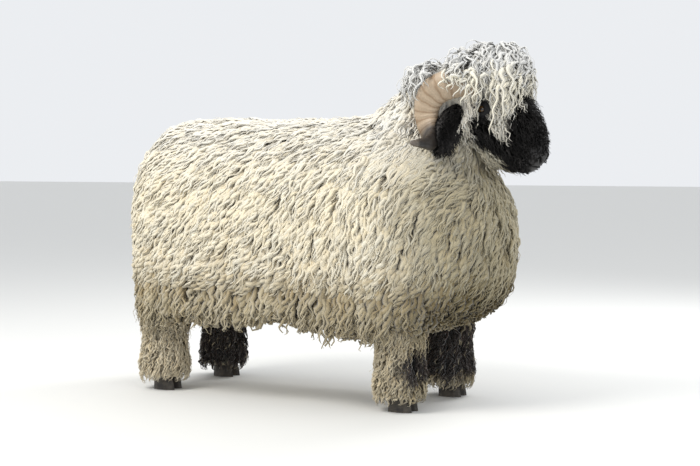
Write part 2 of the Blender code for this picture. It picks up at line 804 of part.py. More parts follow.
def copy_of(obj, name):
    twin = bpy.data.objects.new(name, obj.data.copy())
    bpy.context.scene.collection.objects.link(twin)
    return twin


def feet():
    ends = (("front", STANCE_X), ("hind", -STANCE_X))
    return [(f"{end}_{hand}", x, side * STANCE_Y) for end, x in ends for hand, side in HANDS]


def on_torso(place, normal):
    """Whether a clump of the torso grows here: not on the neck, and not over a leg."""
    if ahead_of(place, NECK_CUT) > -0.01:
        return False
    if normal.z < BELLY_SLOPE and place.x < BELLY_REAR:
        return False
    over_leg = any((place.xy - Vector((x, y))).length < 0.10 for _, x, y in feet())
    return not (over_leg and normal.z < -0.5)


def on_neck(place, normal):
    """Whether a clump of the neck grows here: above the torso, and behind the face."""
    lowest = -0.16 if place.x > THROAT_X else -0.03
    return ahead_of(place, NECK_CUT) > lowest and ahead_of(place, HEAD_CUT) < 0.0


def on_head(place, normal):
    """Whether wool grows here: not at the muzzle's end, under the mop or on the throat."""
    along = (place - POLL).dot(HEAD_AXIS)
    from_mop = (place - MOP_CENTRE).length
    near_eye = min((place - eye_centre(side)).length for side in (LEFT, RIGHT))
    return 0.06 < along < 0.262 and from_mop > 0.085 and near_eye > 0.050


def coated_body(draw):
    """Torso, neck and head as one closed mesh, with the clumps of their coat."""
    torso = Form(flat_rows(TORSO), TORSO_SQUARE)
    neck = Form(flat_rows(NECK), NECK_SQUARE)
    core = torso.solid("core", rings=13, sides=18, inset=TORSO_COAT["deep"] * (1 - CORE_SHARE))
    others = neck_and_head(NECK_COAT["deep"] * (1 - CORE_SHARE), CORE_SHARE)
    others += clumps_on(torso, TORSO_COAT, draw, grows=on_torso)
    others += clumps_on(neck, NECK_COAT, draw, grows=on_neck)
    others += clumps_on(head_form(1.0), HEAD_COAT, draw, grows=on_head)
    return keep_largest(boolean(core, "UNION", others, "MANIFOLD"))


def neck_and_head(inset=0.0, wool_share=1.0):
    neck = Form(flat_rows(NECK), NECK_SQUARE).solid("neck", rings=9, sides=14, inset=inset)
    head_inset = inset if wool_share == 1.0 else 0.0
    head = head_form(wool_share).solid("head", rings=16, sides=14, inset=head_inset)
    return [neck, head]


def fittings(grow):
    """Grown copies of the pieces that are set into the head."""
    made = []
    for _, side in HANDS:
        made += [horn_solid(side, "cut", 2 * grow), ear_solid(side, "cut", grow)]
        made.append(eye_solid(side, "cut", grow))
    return made


def make_torso(core):
    torso = boolean(copy_of(core, "torso"), "INTERSECT", [beyond(NECK_CUT, False)], "MANIFOLD")
    cutters = []
    for _, x, y in feet():
        room = leg_room(x, y, LEG_ROOM)
        top = beyond((Vector((0.0, 0.0, LEG_TOP)), UP), False, -GAP)
        cutters.append(boolean(room, "INTERSECT", [top], "MANIFOLD"))
    cutters.append(tail_form(TAIL_ROOM).solid("tail_cut", rings=7, sides=8))
    cutters += fittings(GAP)
    boolean(torso, "DIFFERENCE", cutters, "MANIFOLD")
    return finish(keep_largest(torso), "torso", "wool")


def make_neck(core):
    neck = boolean(copy_of(core, "neck"), "INTERSECT", [beyond(NECK_CUT, True)], "MANIFOLD")
    boolean(neck, "INTERSECT", [beyond(HEAD_CUT, False)], "MANIFOLD")
    boolean(neck, "DIFFERENCE", fittings(GAP), "MANIFOLD")
    return finish(keep_largest(neck), "neck", "wool")


def make_head(core):
    head = boolean(copy_of(core, "head"), "INTERSECT", [beyond(HEAD_CUT, True)], "MANIFOLD")
    boolean(head, "INTERSECT", [beyond(NECK_CUT, True)], "MANIFOLD")
    boolean(head, "DIFFERENCE", [eye_room(LEFT), eye_room(RIGHT)], "MANIFOLD")
    features = [lip_solid(UPPER_LIP), lip_solid(LOWER_LIP), *lids(LEFT), *lids(RIGHT)]
    boolean(head, "UNION", features, "MANIFOLD")
    cutters = [mouth(), nostril(LEFT), nostril(RIGHT), *fittings(GAP)]
    boolean(head, "DIFFERENCE", cutters, "MANIFOLD")
    return finish(keep_largest(head), "head", "black_wool")


def make_forelock(draw):
    mop = ball("forelock", MOP_CENTRE, MOP_REACH * MOP_CORE, rings=9, sides=14)
    boolean(mop, "UNION", mop_locks(draw), "MANIFOLD")
    boolean(mop, "INTERSECT", [beyond(HEAD_CUT, True)], "MANIFOLD")
    cutters = [eye_room(LEFT), eye_room(RIGHT), *neck_and_head(inset=-WOOL_ROOM)]
    boolean(mop, "DIFFERENCE", cutters + fittings(GAP), "MANIFOLD")
    return finish(keep_largest(mop), "forelock", "wool")


def make_tail(draw):
    form = tail_form()
    tail = form.solid("tail", rings=7, sides=8, inset=TAIL_COAT["deep"] * (1 - CORE_SHARE))
    boolean(tail, "UNION", clumps_on(form, TAIL_COAT, draw, turns=(80, -80)), "MANIFOLD")
    room = tail_form(TAIL_ROOM - GAP).solid("room", rings=7, sides=8)
    boolean(tail, "INTERSECT", [room], "MANIFOLD")
    return finish(keep_largest(tail), "tail", "wool")


def make_leg(name, x, y, draw):
    leg = leg_form(x, y, LEG_COAT["deep"] * (CORE_SHARE - 1)).solid("leg", rings=7, sides=10)
    boolean(leg, "UNION", leg_coat(x, y, draw), "MANIFOLD")
    top = beyond((Vector((0.0, 0.0, LEG_TOP)), UP), False, 0.0)
    boolean(leg, "INTERSECT", [top], "MANIFOLD")
    room = leg_room(x, y, LEG_ROOM - GAP)
    boolean(leg, "INTERSECT", [room], "MANIFOLD")
    boolean(leg, "DIFFERENCE", claws_of(x, y, GAP), "MANIFOLD")
    return finish(keep_largest(leg), f"leg_{name}", "wool")


def main():
    clear_scene()
    draw = random.Random(SEED)
    core = coated_body(draw)
    make_torso(core)
    make_neck(core)
    make_head(core)
    bpy.data.objects.remove(core)
    make_forelock(draw)
    make_tail(draw)
    for name, x, y in feet():
        make_leg(name, x, y, draw)
        for claw in claws_of(x, y):
            which = claw.name.split(".")[0]
            finish(claw, f"claw_{name}_{which}", "hoof")
    for hand, side in HANDS:
        finish(horn_solid(side, "horn"), f"horn_{hand}", "horn")
        finish(ear_solid(side, "ear"), f"ear_{hand}", "black_wool")
        finish(eye_solid(side, "eye"), f"eye_{hand}", "eye")


main()
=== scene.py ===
# %% [markdown]
# # A Valais Blacknose ram in full fleece
# This lesson dresses a plain solid ram. One skin runs over the whole body, and long wavy
# locks, a mop over the brow, short black wool and ringed horns are built on it as mesh.
# Sizes are metres. +X is the way the ram faces, +Y is its left side and +Z is up.

# %% Load the frame
import json
import math

import bpy
import numpy as np
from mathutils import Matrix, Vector
from mathutils.bvhtree import BVHTree
from mathutils.kdtree import KDTree

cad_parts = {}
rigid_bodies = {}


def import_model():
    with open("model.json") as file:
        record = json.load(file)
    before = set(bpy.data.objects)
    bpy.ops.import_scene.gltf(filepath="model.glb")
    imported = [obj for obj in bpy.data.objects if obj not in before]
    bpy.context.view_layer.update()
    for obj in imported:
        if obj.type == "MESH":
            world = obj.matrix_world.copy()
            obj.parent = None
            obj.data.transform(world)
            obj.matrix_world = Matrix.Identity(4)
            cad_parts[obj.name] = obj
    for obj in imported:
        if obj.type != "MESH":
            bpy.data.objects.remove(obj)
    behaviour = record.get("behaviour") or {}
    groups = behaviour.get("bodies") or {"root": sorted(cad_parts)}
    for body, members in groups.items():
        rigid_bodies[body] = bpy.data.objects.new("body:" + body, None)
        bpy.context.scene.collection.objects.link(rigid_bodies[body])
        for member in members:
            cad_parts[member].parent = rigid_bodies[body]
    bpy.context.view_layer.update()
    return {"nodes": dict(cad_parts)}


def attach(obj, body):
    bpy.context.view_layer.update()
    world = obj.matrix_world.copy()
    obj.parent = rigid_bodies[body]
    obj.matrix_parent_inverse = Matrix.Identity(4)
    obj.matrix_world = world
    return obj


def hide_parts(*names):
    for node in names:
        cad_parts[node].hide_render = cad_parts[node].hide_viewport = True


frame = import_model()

SEED = 23
LEFT, RIGHT = 1, -1
HANDS = (("left", LEFT), ("right", RIGHT))
SIDE = np.array([0.0, 1.0, 0.0])
UP = np.array([0.0, 0.0, 1.0])


def to_side(side):
    """What a place on the left is multiplied by to stand on this side."""
    return np.array([1.0, side, 1.0])


# %% [markdown]
# The camera stands at the ram's front right, a little below the height of its back. It
# comes first, so that every piece can be judged from there.

# %% Camera
IMAGE_WIDTH = 700  # pixels of the picture
FOCAL_PIXELS = 1444
HORIZON_RISE = 69  # how far the horizon lies above the middle, in pixels
CAMERA_PLACE = Vector((2.2246, -3.7604, 0.70))
CAMERA_TURN = math.radians(30)  # how far it stands round from the right side to the nose


def add_camera():
    data = bpy.data.cameras.new("camera")
    data.sensor_width = 36.0
    data.lens = data.sensor_width * FOCAL_PIXELS / IMAGE_WIDTH
    camera = bpy.data.objects.new("camera", data)
    pitch = math.atan(HORIZON_RISE / FOCAL_PIXELS)
    back = Vector((math.sin(CAMERA_TURN), -math.cos(CAMERA_TURN), 0.0))
    look = -back * math.cos(pitch) - Vector((0.0, 0.0, 1.0)) * math.sin(pitch)
    camera.location = CAMERA_PLACE
    camera.rotation_euler = look.to_track_quat("-Z", "Y").to_euler()
    bpy.context.scene.collection.objects.link(camera)
    bpy.context.scene.camera = camera
    return data.lens


print("camera has a lens of", round(add_camera(), 1), "mm")

# %% [markdown]
# The body is a set of lofted forms, and each form is a short table of stations: where its
# middle is, and how far it reaches to the side, up and down. A smooth curve runs through
# each column. The same stations serve the skin, which lies deep in the wool, and the
# outer surface that the tips of the wool reach.

# %% Stations of the body
MIDDLE_X = 0.107  # from the middle of the stance to the middle of the ram's length
SHIFT = np.array([MIDDLE_X, 0.0, 0.0])
STANCE_X, STANCE_Y = 0.415, 0.160

TORSO = [
    # x, z, half width, reach up, reach down
    (-0.560, 0.50, 0.010, 0.010, 0.010),
    (-0.545, 0.50, 0.130, 0.170, 0.180),
    (-0.500, 0.50, 0.225, 0.275, 0.275),
    (-0.400, 0.50, 0.280, 0.345, 0.310),
    (-0.250, 0.50, 0.305, 0.353, 0.295),
    (0.000, 0.50, 0.312, 0.345, 0.282),
    (0.220, 0.50, 0.312, 0.345, 0.292),
    (0.420, 0.50, 0.292, 0.320, 0.300),
    (0.560, 0.50, 0.232, 0.220, 0.260),
    (0.650, 0.50, 0.150, 0.130, 0.185),
    (0.695, 0.50, 0.010, 0.010, 0.010),
]
TORSO_SQUARE = (2.3, 3.2)
NECK = [
    (0.250, 0.540, 0.230, 0.230, 0.230),
    (0.380, 0.700, 0.200, 0.200, 0.265),
    (0.470, 0.800, 0.135, 0.172, 0.200),
    (0.530, 0.875, 0.104, 0.150, 0.125),
    (0.570, 0.930, 0.085, 0.098, 0.080),
    (0.600, 0.975, 0.010, 0.010, 0.010),
]
NECK_SQUARE = (2.1, 2.1)
POLL = np.array([0.540, 0.0, 0.906])
HEAD_PITCH = math.radians(40)
HEAD_AXIS = np.array([math.cos(HEAD_PITCH), 0.0, -math.sin(HEAD_PITCH)])
HEAD_UP = np.array([math.sin(HEAD_PITCH), 0.0, math.cos(HEAD_PITCH)])
HEAD = [
    # distance along the head, half width, reach to the bridge and to the jaw, depth of wool
    (-0.050, 0.006, 0.006, 0.006, 0.000),
    (-0.035, 0.045, 0.036, 0.045, 0.020),
    (0.000, 0.062, 0.058, 0.070, 0.040),
    (0.050, 0.070, 0.070, 0.085, 0.045),
    (0.100, 0.070, 0.076, 0.090, 0.040),
    (0.150, 0.061, 0.075, 0.082, 0.038),
    (0.200, 0.053, 0.068, 0.072, 0.034),
    (0.245, 0.049, 0.060, 0.062, 0.024),
    (0.283, 0.046, 0.045, 0.055, 0.008),
    (0.304, 0.036, 0.028, 0.044, 0.000),
    (0.315, 0.006, 0.004, 0.008, 0.000),
]
HEAD_SQUARE = (2.2, 2.2)
LEG = [
    # height above the ground, radius to the tips of the wool
    (0.300, 0.076),
    (0.220, 0.074),
    (0.150, 0.070),
    (0.090, 0.078),
    (0.050, 0.076),
    (0.024, 0.062),
    (0.018, 0.010),
]
TAIL = [
    # x, z, radius
    (-0.400, 0.745, 0.030),
    (-0.485, 0.715, 0.040),
    (-0.530, 0.640, 0.042),
    (-0.540, 0.560, 0.038),
    (-0.538, 0.490, 0.026),
    (-0.534, 0.465, 0.005),
]
SKIN_DEPTH = {"torso": 0.026, "neck": 0.022, "leg": 0.017, "tail": 0.012}
FACE_WOOL_SHARE = 0.12  # how far the skin of the head stands out into its wool


# %% Curves through the stations
def smooth_rows(rows, shares):
    """The rows of a table at these shares of its length, on a curve that never overshoots."""
    table = np.array(rows, float)
    knots = np.linspace(0.0, 1.0, len(table))
    step = np.diff(table, axis=0) / np.diff(knots)[:, None]
    product = step[:-1] * step[1:]
    total = step[:-1] + step[1:]
    slope = np.zeros_like(table)
    slope[1:-1] = np.where(product > 0, 2.0 * product / np.where(total == 0, 1.0, total), 0.0)
    slope[0], slope[-1] = step[0], step[-1]
    shares = np.clip(np.atleast_1d(shares), 0.0, 1.0)
    index = np.clip(np.searchsorted(knots, shares, side="right") - 1, 0, len(table) - 2)
    width = (knots[index + 1] - knots[index])[:, None]
    u = (shares[:, None] - knots[index][:, None]) / width
    return (
        table[index] * (1 + 2 * u) * (1 - u) ** 2
        + slope[index] * width * u * (1 - u) ** 2
        + table[index + 1] * u**2 * (3 - 2 * u)
        + slope[index + 1] * width * u**2 * (u - 1)
    )


def unit(vectors):
    return vectors / np.maximum(np.linalg.norm(vectors, axis=-1, keepdims=True), 1e-9)


# %% Faces of a tube
def tube_faces(rings, sides):
    """Faces of a tube of rings, with a cap at both ends."""
    faces = []
    for i in range(rings - 1):
        for k in range(sides):
            a, b = i * sides + k, i * sides + (k + 1) % sides
            faces.append((a, b, b + sides, a + sides))
    faces.append(tuple(reversed(range(sides))))
    faces.append(tuple((rings - 1) * sides + k for k in range(sides)))
    return faces


# %% A lofted form
FIRST_RING = 0.004  # share of a form's length that is left before its first ring


class Form:
    """A lofted form. Its rows hold x, y, z, half width, reach up and reach down."""

    def __init__(self, rows, square=(2.0, 2.0)):
        self.rows = rows
        self.powers = (2.0 / square[0], 2.0 / square[1])

    def outline(self, shares, turns):
        """Places at these shares of the length and angles, 0 on the left, a quarter on top."""
        row = smooth_rows(self.rows, shares)
        ahead = smooth_rows(self.rows, np.minimum(shares + 0.01, 1.0))
        behind = smooth_rows(self.rows, np.maximum(shares - 0.01, 0.0))
        along = unit(ahead[:, :3] - behind[:, :3])
        up = unit(np.cross(along, SIDE))
        c, s = np.cos(turns), np.sin(turns)
        power = np.where(s > 0, self.powers[0], self.powers[1])
        reach = np.where(s > 0, row[:, 4], row[:, 5])
        out = np.sign(c) * np.abs(c) ** power * row[:, 3]
        rise = np.sign(s) * np.abs(s) ** power * reach
        return row[:, :3] + SIDE * out[:, None] + up * rise[:, None]

    def normals(self, shares, turns):
        step = 0.02
        along = self.outline(np.minimum(shares + step, 1.0), turns)
        along -= self.outline(np.maximum(shares - step, 0.0), turns)
        round_way = self.outline(shares, turns + 2 * step)
        round_way -= self.outline(shares, turns - 2 * step)
        return unit(np.cross(round_way, along))

    def grid(self, rings, sides, inset=0.0):
        """Points and faces of the closed form, drawn in by the inset."""
        shares = np.repeat(np.linspace(FIRST_RING, 1.0 - FIRST_RING, rings), sides)
        turns = np.tile(np.linspace(0.0, 2 * math.pi, sides, endpoint=False), rings)
        points = self.outline(shares, turns) - self.normals(shares, turns) * inset
        return points, tube_faces(rings, sides)


# %% All the forms
def head_rows(wool_share):
    """Rows of the head with this share of the depth of its wool."""
    rows = []
    for along, width, up, down, wool in HEAD:
        deep = wool * wool_share
        rows.append((*(POLL + HEAD_AXIS * along), width + deep, up + deep, down + deep))
    return rows


def flat_rows(rows):
    """Rows of a form that lies in the ram's middle plane."""
    return [(row[0], 0.0, *row[1:]) for row in rows]


FEET = [(end, hand, x, side * STANCE_Y)
        for end, x in (("front", STANCE_X), ("hind", -STANCE_X)) for hand, side in HANDS]
FORMS = {
    "torso": Form(flat_rows(TORSO), TORSO_SQUARE),
    "neck": Form(flat_rows(NECK), NECK_SQUARE),
    "tail": Form([(x, 0.0, z, r, r, r) for x, z, r in TAIL]),
}
for end, hand, x, y in FEET:
    FORMS[f"leg_{end}_{hand}"] = Form([(x, y, z, r, r, r) for z, r in LEG])
print("forms", sorted(FORMS))

# %% [markdown]
# Small helpers turn arrays of points and faces into objects. Every object stays at the
# origin with its place in its mesh. The stations are measured from the middle of the
# stance, so the helper moves the points back to the middle of the ram's length.


# %% Points and volume of a mesh
def points_of(mesh):
    co = np.empty(len(mesh.vertices) * 3)
    mesh.vertices.foreach_get("co", co)
    return co.reshape(-1, 3)


def signed_volume(mesh):
    """Six times the volume inside the mesh, and less than 0 if its faces look inward."""
    mesh.calc_loop_triangles()
    co = points_of(mesh)
    corners = np.empty(len(mesh.loop_triangles) * 3, np.int32)
    mesh.loop_triangles.foreach_get("vertices", corners)
    return float(np.linalg.det(co[corners.reshape(-1, 3)]).sum())


# %% Objects from points and faces
def link_outward(name, mesh):
    """An object that shows the mesh, with all its faces turned outward."""
    obj = bpy.data.objects.new(name, mesh)
    bpy.context.scene.collection.objects.link(obj)
    if signed_volume(mesh) < 0:
        mesh.flip_normals()
    return obj


def add_object(name, points, faces):
    mesh = bpy.data.meshes.new(name)
    mesh.from_pydata((np.asarray(points, float) - SHIFT).tolist(), [], faces)
    mesh.shade_smooth()
    return link_outward(name, mesh)


# %% Applying modifiers
def evaluated_mesh(obj):
    """The mesh of an object with its modifiers applied. They are then removed."""
    seen = obj.evaluated_get(bpy.context.evaluated_depsgraph_get())
    mesh = bpy.data.meshes.new_from_object(seen)
    obj.modifiers.clear()
    return mesh


# %% Joining, cutting and remeshing
def combine(obj, operation, others):
    """Joins the others to the object or cuts them from it. They are used up."""
    group = bpy.data.collections.new("pieces")
    bpy.context.scene.collection.children.link(group)
    for other in others:
        bpy.context.scene.collection.objects.unlink(other)
        group.objects.link(other)
    modifier = obj.modifiers.new("combine", "BOOLEAN")
    modifier.operation = operation
    modifier.operand_type = "COLLECTION"
    modifier.collection = group
    modifier.solver = "MANIFOLD"
    obj.data = evaluated_mesh(obj)
    for other in list(group.objects):
        bpy.data.objects.remove(other)
    bpy.data.collections.remove(group)
    return obj


def remeshed(obj, voxel, smoothing):
    """One even, closed surface over all that the object holds, then smoothed."""
    modifier = obj.modifiers.new("even", "REMESH")
    modifier.mode = "VOXEL"
    modifier.voxel_size = voxel
    relax = obj.modifiers.new("relax", "SMOOTH")
    relax.factor, relax.iterations = 0.5, smoothing
    obj.data = evaluated_mesh(obj)
    obj.data.shade_smooth()
    return obj


def joined(name, parts):
    """One object from several sets of points and faces."""
    points, faces, count = [], [], 0
    for part_points, part_faces in parts:
        points.append(np.asarray(part_points, float))
        faces += [tuple(i + count for i in face) for face in part_faces]
        count += len(part_points)
    return add_object(name, np.concatenate(points), faces)


# %% [markdown]
# The tips of the wool end on an outer surface. It is the same forms at their full size,
# wrapped in one even mesh. It is only a guide for the locks, so once it can be searched
# its object is removed.

# %% Outer surface of the coat
OUTER_VOXEL, OUTER_SMOOTHING = 0.010, 6
outer_parts = [form.grid(48, 48) for form in FORMS.values()]
outer_parts.append(Form(head_rows(1.0), HEAD_SQUARE).grid(32, 32))
outer = remeshed(joined("outer_guide", outer_parts), OUTER_VOXEL, OUTER_SMOOTHING)
outer_tree = BVHTree.FromObject(outer, bpy.context.evaluated_depsgraph_get())
print("outer surface has", len(outer.data.polygons), "faces")
bpy.data.objects.remove(outer)

# %% [markdown]
# The head of a ram is long, with a straight bridge, a full cheek and a small, soft muzzle.
# Lips, nostrils, the line of the mouth and the rolls of the lids are joined to it or cut
# from it, and a fine remesh then melts them into one skin, as flesh does.

# %% Sizes of the head
EYE_RADIUS, EYE_ROOM = 0.0150, 0.0004
EYE_ALONG, EYE_RISE, EYE_OUT = 0.098, 0.012, 0.0600
LID_RADIUS, LID_REACH = 0.0043, 0.0183
UPPER_LIP = ((0.286, 0.0, -0.002), (0.026, 0.042, 0.020))
LOWER_LIP = ((0.282, 0.0, -0.034), (0.024, 0.037, 0.017))
BROW_BONE = ((0.094, 0.052, 0.038), (0.030, 0.016, 0.012))  # middle along, out and up, and reach
CHEEK_MUSCLE = ((0.105, 0.052, -0.050), (0.052, 0.022, 0.036))
MOUTH_RISE, MOUTH_BACK, MOUTH_GAPE = -0.0195, 0.226, 0.0052
MOUTH_FRONT, MOUTH_HALF_WIDTH = 0.370, 0.080  # the cut that parts the lips reaches past them
LIP_GROOVE = ((0.308, -0.0016, -0.024), (0.332, 0.0016, 0.000))  # low and high corners
LIP_DEPTH = 0.009  # how deep the slot of the mouth goes
NOSTRIL_DEPTH = 0.013
NOSTRIL = [
    # along, out, up, radius: a comma from beside the lip's groove up and out
    (0.309, 0.0095, -0.001, 0.0042),
    (0.307, 0.0130, 0.003, 0.0048),
    (0.304, 0.0175, 0.008, 0.0052),
    (0.299, 0.0225, 0.0115, 0.0046),
    (0.293, 0.0270, 0.0125, 0.0034),
]
EAR = [
    # x, y, z, half width
    (0.556, 0.052, 0.866, 0.012),
    (0.550, 0.080, 0.846, 0.020),
    (0.545, 0.103, 0.822, 0.027),
    (0.542, 0.122, 0.795, 0.027),
    (0.542, 0.137, 0.768, 0.018),
    (0.544, 0.147, 0.744, 0.004),
]
EAR_OPENS = np.array([0.75, 0.66, 0.0])
WOOL_PADS = (
    # middle and reach of the dense underwool that carries the forelock, from brow to nape
    ((0.622, 0.0, 0.936), (0.092, 0.094, 0.088)),
    ((0.560, 0.0, 0.914), (0.094, 0.106, 0.090)),
    ((0.485, 0.0, 0.900), (0.116, 0.122, 0.084)),
)
EAR_THICKNESS, EAR_CUP = 0.006, 0.55


# %% Eggs, pads and blocks
POLE_ANGLE = 0.04  # angle from the pole to the first ring of a ball


def from_head(points):
    """Places given along the head, out to the side and up from its axis."""
    along, out, up = np.split(np.asarray(points, float), 3, axis=-1)
    return POLL + along * HEAD_AXIS + out * SIDE + up * HEAD_UP


def ball(rings, sides):
    """Points of a ball of radius 1 with its poles to the sides."""
    polar = np.repeat(np.linspace(POLE_ANGLE, math.pi - POLE_ANGLE, rings), sides)
    turn = np.tile(np.linspace(0, 2 * math.pi, sides, endpoint=False), rings)
    level = np.sin(polar)
    return np.stack([level * np.cos(turn), np.cos(polar), level * np.sin(turn)], 1)


def egg(centre, reach, rings=17, sides=24):
    """Points and faces of an egg that is placed in the head's own space."""
    points = from_head(ball(rings, sides) * np.array(reach) + np.array(centre))
    return points, tube_faces(rings, sides)


def pad(centre, reach, rings=21, sides=32):
    """Points and faces of a pad of dense wool, which stands level whatever the head does."""
    return ball(rings, sides) * np.array(reach) + np.array(centre), tube_faces(rings, sides)


def block(low, high):
    """Points and faces of a block in the head's own space, from its low to its high corner."""
    round_way = ((high, high), (low, high), (low, low), (high, low))
    corners = [(a[0], b[1], level[2]) for level in (low, high) for a, b in round_way]
    return from_head(corners), tube_faces(2, 4)


# %% Lids and ears
def eye_middle(side):
    return from_head([EYE_ALONG, side * EYE_OUT, EYE_RISE])


def lid_roll(side, arch, radius=LID_RADIUS, lift=0.0):
    """A roll of skin from one corner of the eye to the other, over or under the ball."""
    loops = []
    for turn in np.linspace(0.0, math.pi, 25):
        fore, rise = math.cos(turn), math.sin(turn) * arch
        out = math.sqrt(max(0.0, 1.0 - fore * fore * 0.9 - rise * rise)) * 0.95
        middle = np.array([EYE_ALONG, side * EYE_OUT, EYE_RISE])
        middle = middle + np.array([fore, side * out, rise]) * (LID_REACH + lift)
        ahead = unit(np.array([-math.sin(turn), 0.0, math.cos(turn) * arch]))
        outward = unit(np.array([fore * 0.3, side, rise * 0.6]))
        across = unit(np.cross(ahead, outward))
        slim = radius * (0.45 + 0.55 * math.sin(turn))
        angles = np.linspace(0, 2 * math.pi, 12, endpoint=False)[:, None]
        loops.append(middle + (outward * np.cos(angles) + across * np.sin(angles)) * slim)
    return from_head(np.concatenate(loops)), tube_faces(25, 12)


def ear_shell(side, rings=34, across_count=11):
    """The cupped ear: each section is a crescent that opens forward and out."""
    shares = np.linspace(0.0, 1.0, rings)
    rows = smooth_rows(EAR, shares)
    along = unit(smooth_rows(EAR, shares + 0.04)[:, :3] - smooth_rows(EAR, shares - 0.04)[:, :3])
    opening = unit(EAR_OPENS - along * (along @ EAR_OPENS)[:, None])
    across = unit(np.cross(along, opening))
    loops = []
    for row, opens, wide in zip(rows, opening, across):
        u = np.linspace(-1, 1, across_count)[:, None]
        edge = row[:3] + wide * (row[3] * u) - opens * (row[3] * EAR_CUP * (1 - u * u))
        half = opens * min(EAR_THICKNESS, row[3]) / 2
        loops.append(np.concatenate([edge - half, (edge + half)[::-1]]))
    return np.concatenate(loops) * to_side(side), tube_faces(rings, 2 * across_count)


# %% What is cut from the head
def mouth_cut():
    """A thin slot between the lips, which leaves the inside of the head whole."""
    low = (MOUTH_BACK, -MOUTH_HALF_WIDTH, MOUTH_RISE - MOUTH_GAPE / 2)
    high = (MOUTH_FRONT, MOUTH_HALF_WIDTH, MOUTH_RISE + MOUTH_GAPE / 2)
    keep = [egg(c, [r - LIP_DEPTH for r in reach]) for c, reach in (UPPER_LIP, LOWER_LIP)]
    keep.append(Form(head_rows(0.0), HEAD_SQUARE).grid(40, 32, inset=LIP_DEPTH))
    mouth = joined("mouth", [block(low, high)])
    return combine(mouth, "DIFFERENCE", [joined("inner", [part]) for part in keep])


def head_cuts():
    cuts = [mouth_cut(), joined("groove", [block(*LIP_GROOVE)])]
    for _, side in HANDS:
        for along, out, up, radius in NOSTRIL:
            reach = (NOSTRIL_DEPTH, radius, radius)
            cuts.append(joined("nostril", [egg((along, side * out, up), reach, 13, 16)]))
        socket = egg((EYE_ALONG, side * EYE_OUT, EYE_RISE), [EYE_RADIUS + EYE_ROOM] * 3, 25, 32)
        cuts.append(joined("socket", [socket]))
    return cuts


# %% Skin of the head
HEAD_VOXEL, HEAD_SMOOTHING = 0.0023, 3


def head_skin():
    form = Form(head_rows(FACE_WOOL_SHARE), HEAD_SQUARE)
    head = joined("head_skin", [form.grid(60, 56)])
    eggs = [egg(*UPPER_LIP), egg(*LOWER_LIP)]
    for _, side in HANDS:
        eggs += [lid_roll(side, 0.86), lid_roll(side, -0.74), lid_roll(side, 1.25, 0.0030, 0.003)]
        eggs.append(ear_shell(side))
        eggs += [egg(np.array(c) * to_side(side), reach) for c, reach in (BROW_BONE, CHEEK_MUSCLE)]
    combine(head, "UNION", [joined("piece", [part]) for part in eggs])
    combine(head, "DIFFERENCE", head_cuts())
    return remeshed(head, HEAD_VOXEL, HEAD_SMOOTHING)


head = head_skin()
print("skin of the head has", len(head.data.polygons), "faces")

# %% [markdown]
# The horns wind outside the wool of the neck. Where they run is worked out first, because
# the wool has to leave a hollow for them and for the ears inside their curl.

# %% The winding
HORN_CENTRE = np.array([0.545, 0.122, 0.832])
HORN_AXIS = unit(np.array([-0.35, 0.88, -0.33]))
HORN_START, HORN_TURN = math.radians(62), math.radians(270)
HORN_CURL = (0.088, 0.032)
HORN_REACH, HORN_FLARE, HORN_SUNK = 0.178, 3.2, 0.085
HORN_RADIUS, HORN_TAPER, HORN_FLATNESS = (0.040, 0.0100), 2.1, 0.80


def horn_places(shares):
    """Middles of the left horn at these shares of its length, and its radius there."""
    front = unit(np.array([1.0, 0.0, 0.0]) - HORN_AXIS * HORN_AXIS[0])
    up = unit(np.cross(front, HORN_AXIS))
    grown = np.maximum(shares, 0.0)
    angle = HORN_START + HORN_TURN * shares
    curl = HORN_CURL[0] + (HORN_CURL[1] - HORN_CURL[0]) * grown**1.5
    out = HORN_REACH * grown**HORN_FLARE - HORN_SUNK * (1.0 - shares) ** 8
    centre = HORN_CENTRE + HORN_AXIS * out[:, None]
    centre = centre + front * (curl * np.cos(angle))[:, None]
    centre = centre + up * (curl * np.sin(angle))[:, None]
    return centre, HORN_RADIUS[0] + (HORN_RADIUS[1] - HORN_RADIUS[0]) * grown**HORN_TAPER


# %% Room for horns and ears
HORN_OPENS, EAR_STARTS = 0.13, 0.15  # shares of their lengths from which the wool leaves room
OPENING_ROOM = 0.004
EAR_DEPTH = 0.012  # how far behind an ear the wool lies
HOLLOW_SLOPE = 1.1  # how steeply the sides of the hollow rise
HOLLOW_FLOOR = 0.03  # no wool is pressed nearer than this to the middle plane
HOLLOW_BACK, HOLLOW_FRONT, HOLLOW_LOW = 0.34, 0.70, 0.64  # only the wool between these is pressed


def openings():
    """Middles of horns and ears, their width from the side, and how far out wool may lie."""
    centre, radius = horn_places(np.linspace(HORN_OPENS, 1.0, 80))
    ear = smooth_rows(EAR, np.linspace(EAR_STARTS, 1.0, 24))
    places = np.concatenate([centre, ear[:, :3]])
    reach = np.concatenate([radius, ear[:, 3] * 0.8]) + OPENING_ROOM
    limit = np.concatenate([centre[:, 1] - radius * 0.5, ear[:, 1] - EAR_DEPTH])
    return places, reach, limit


OPENINGS = openings()


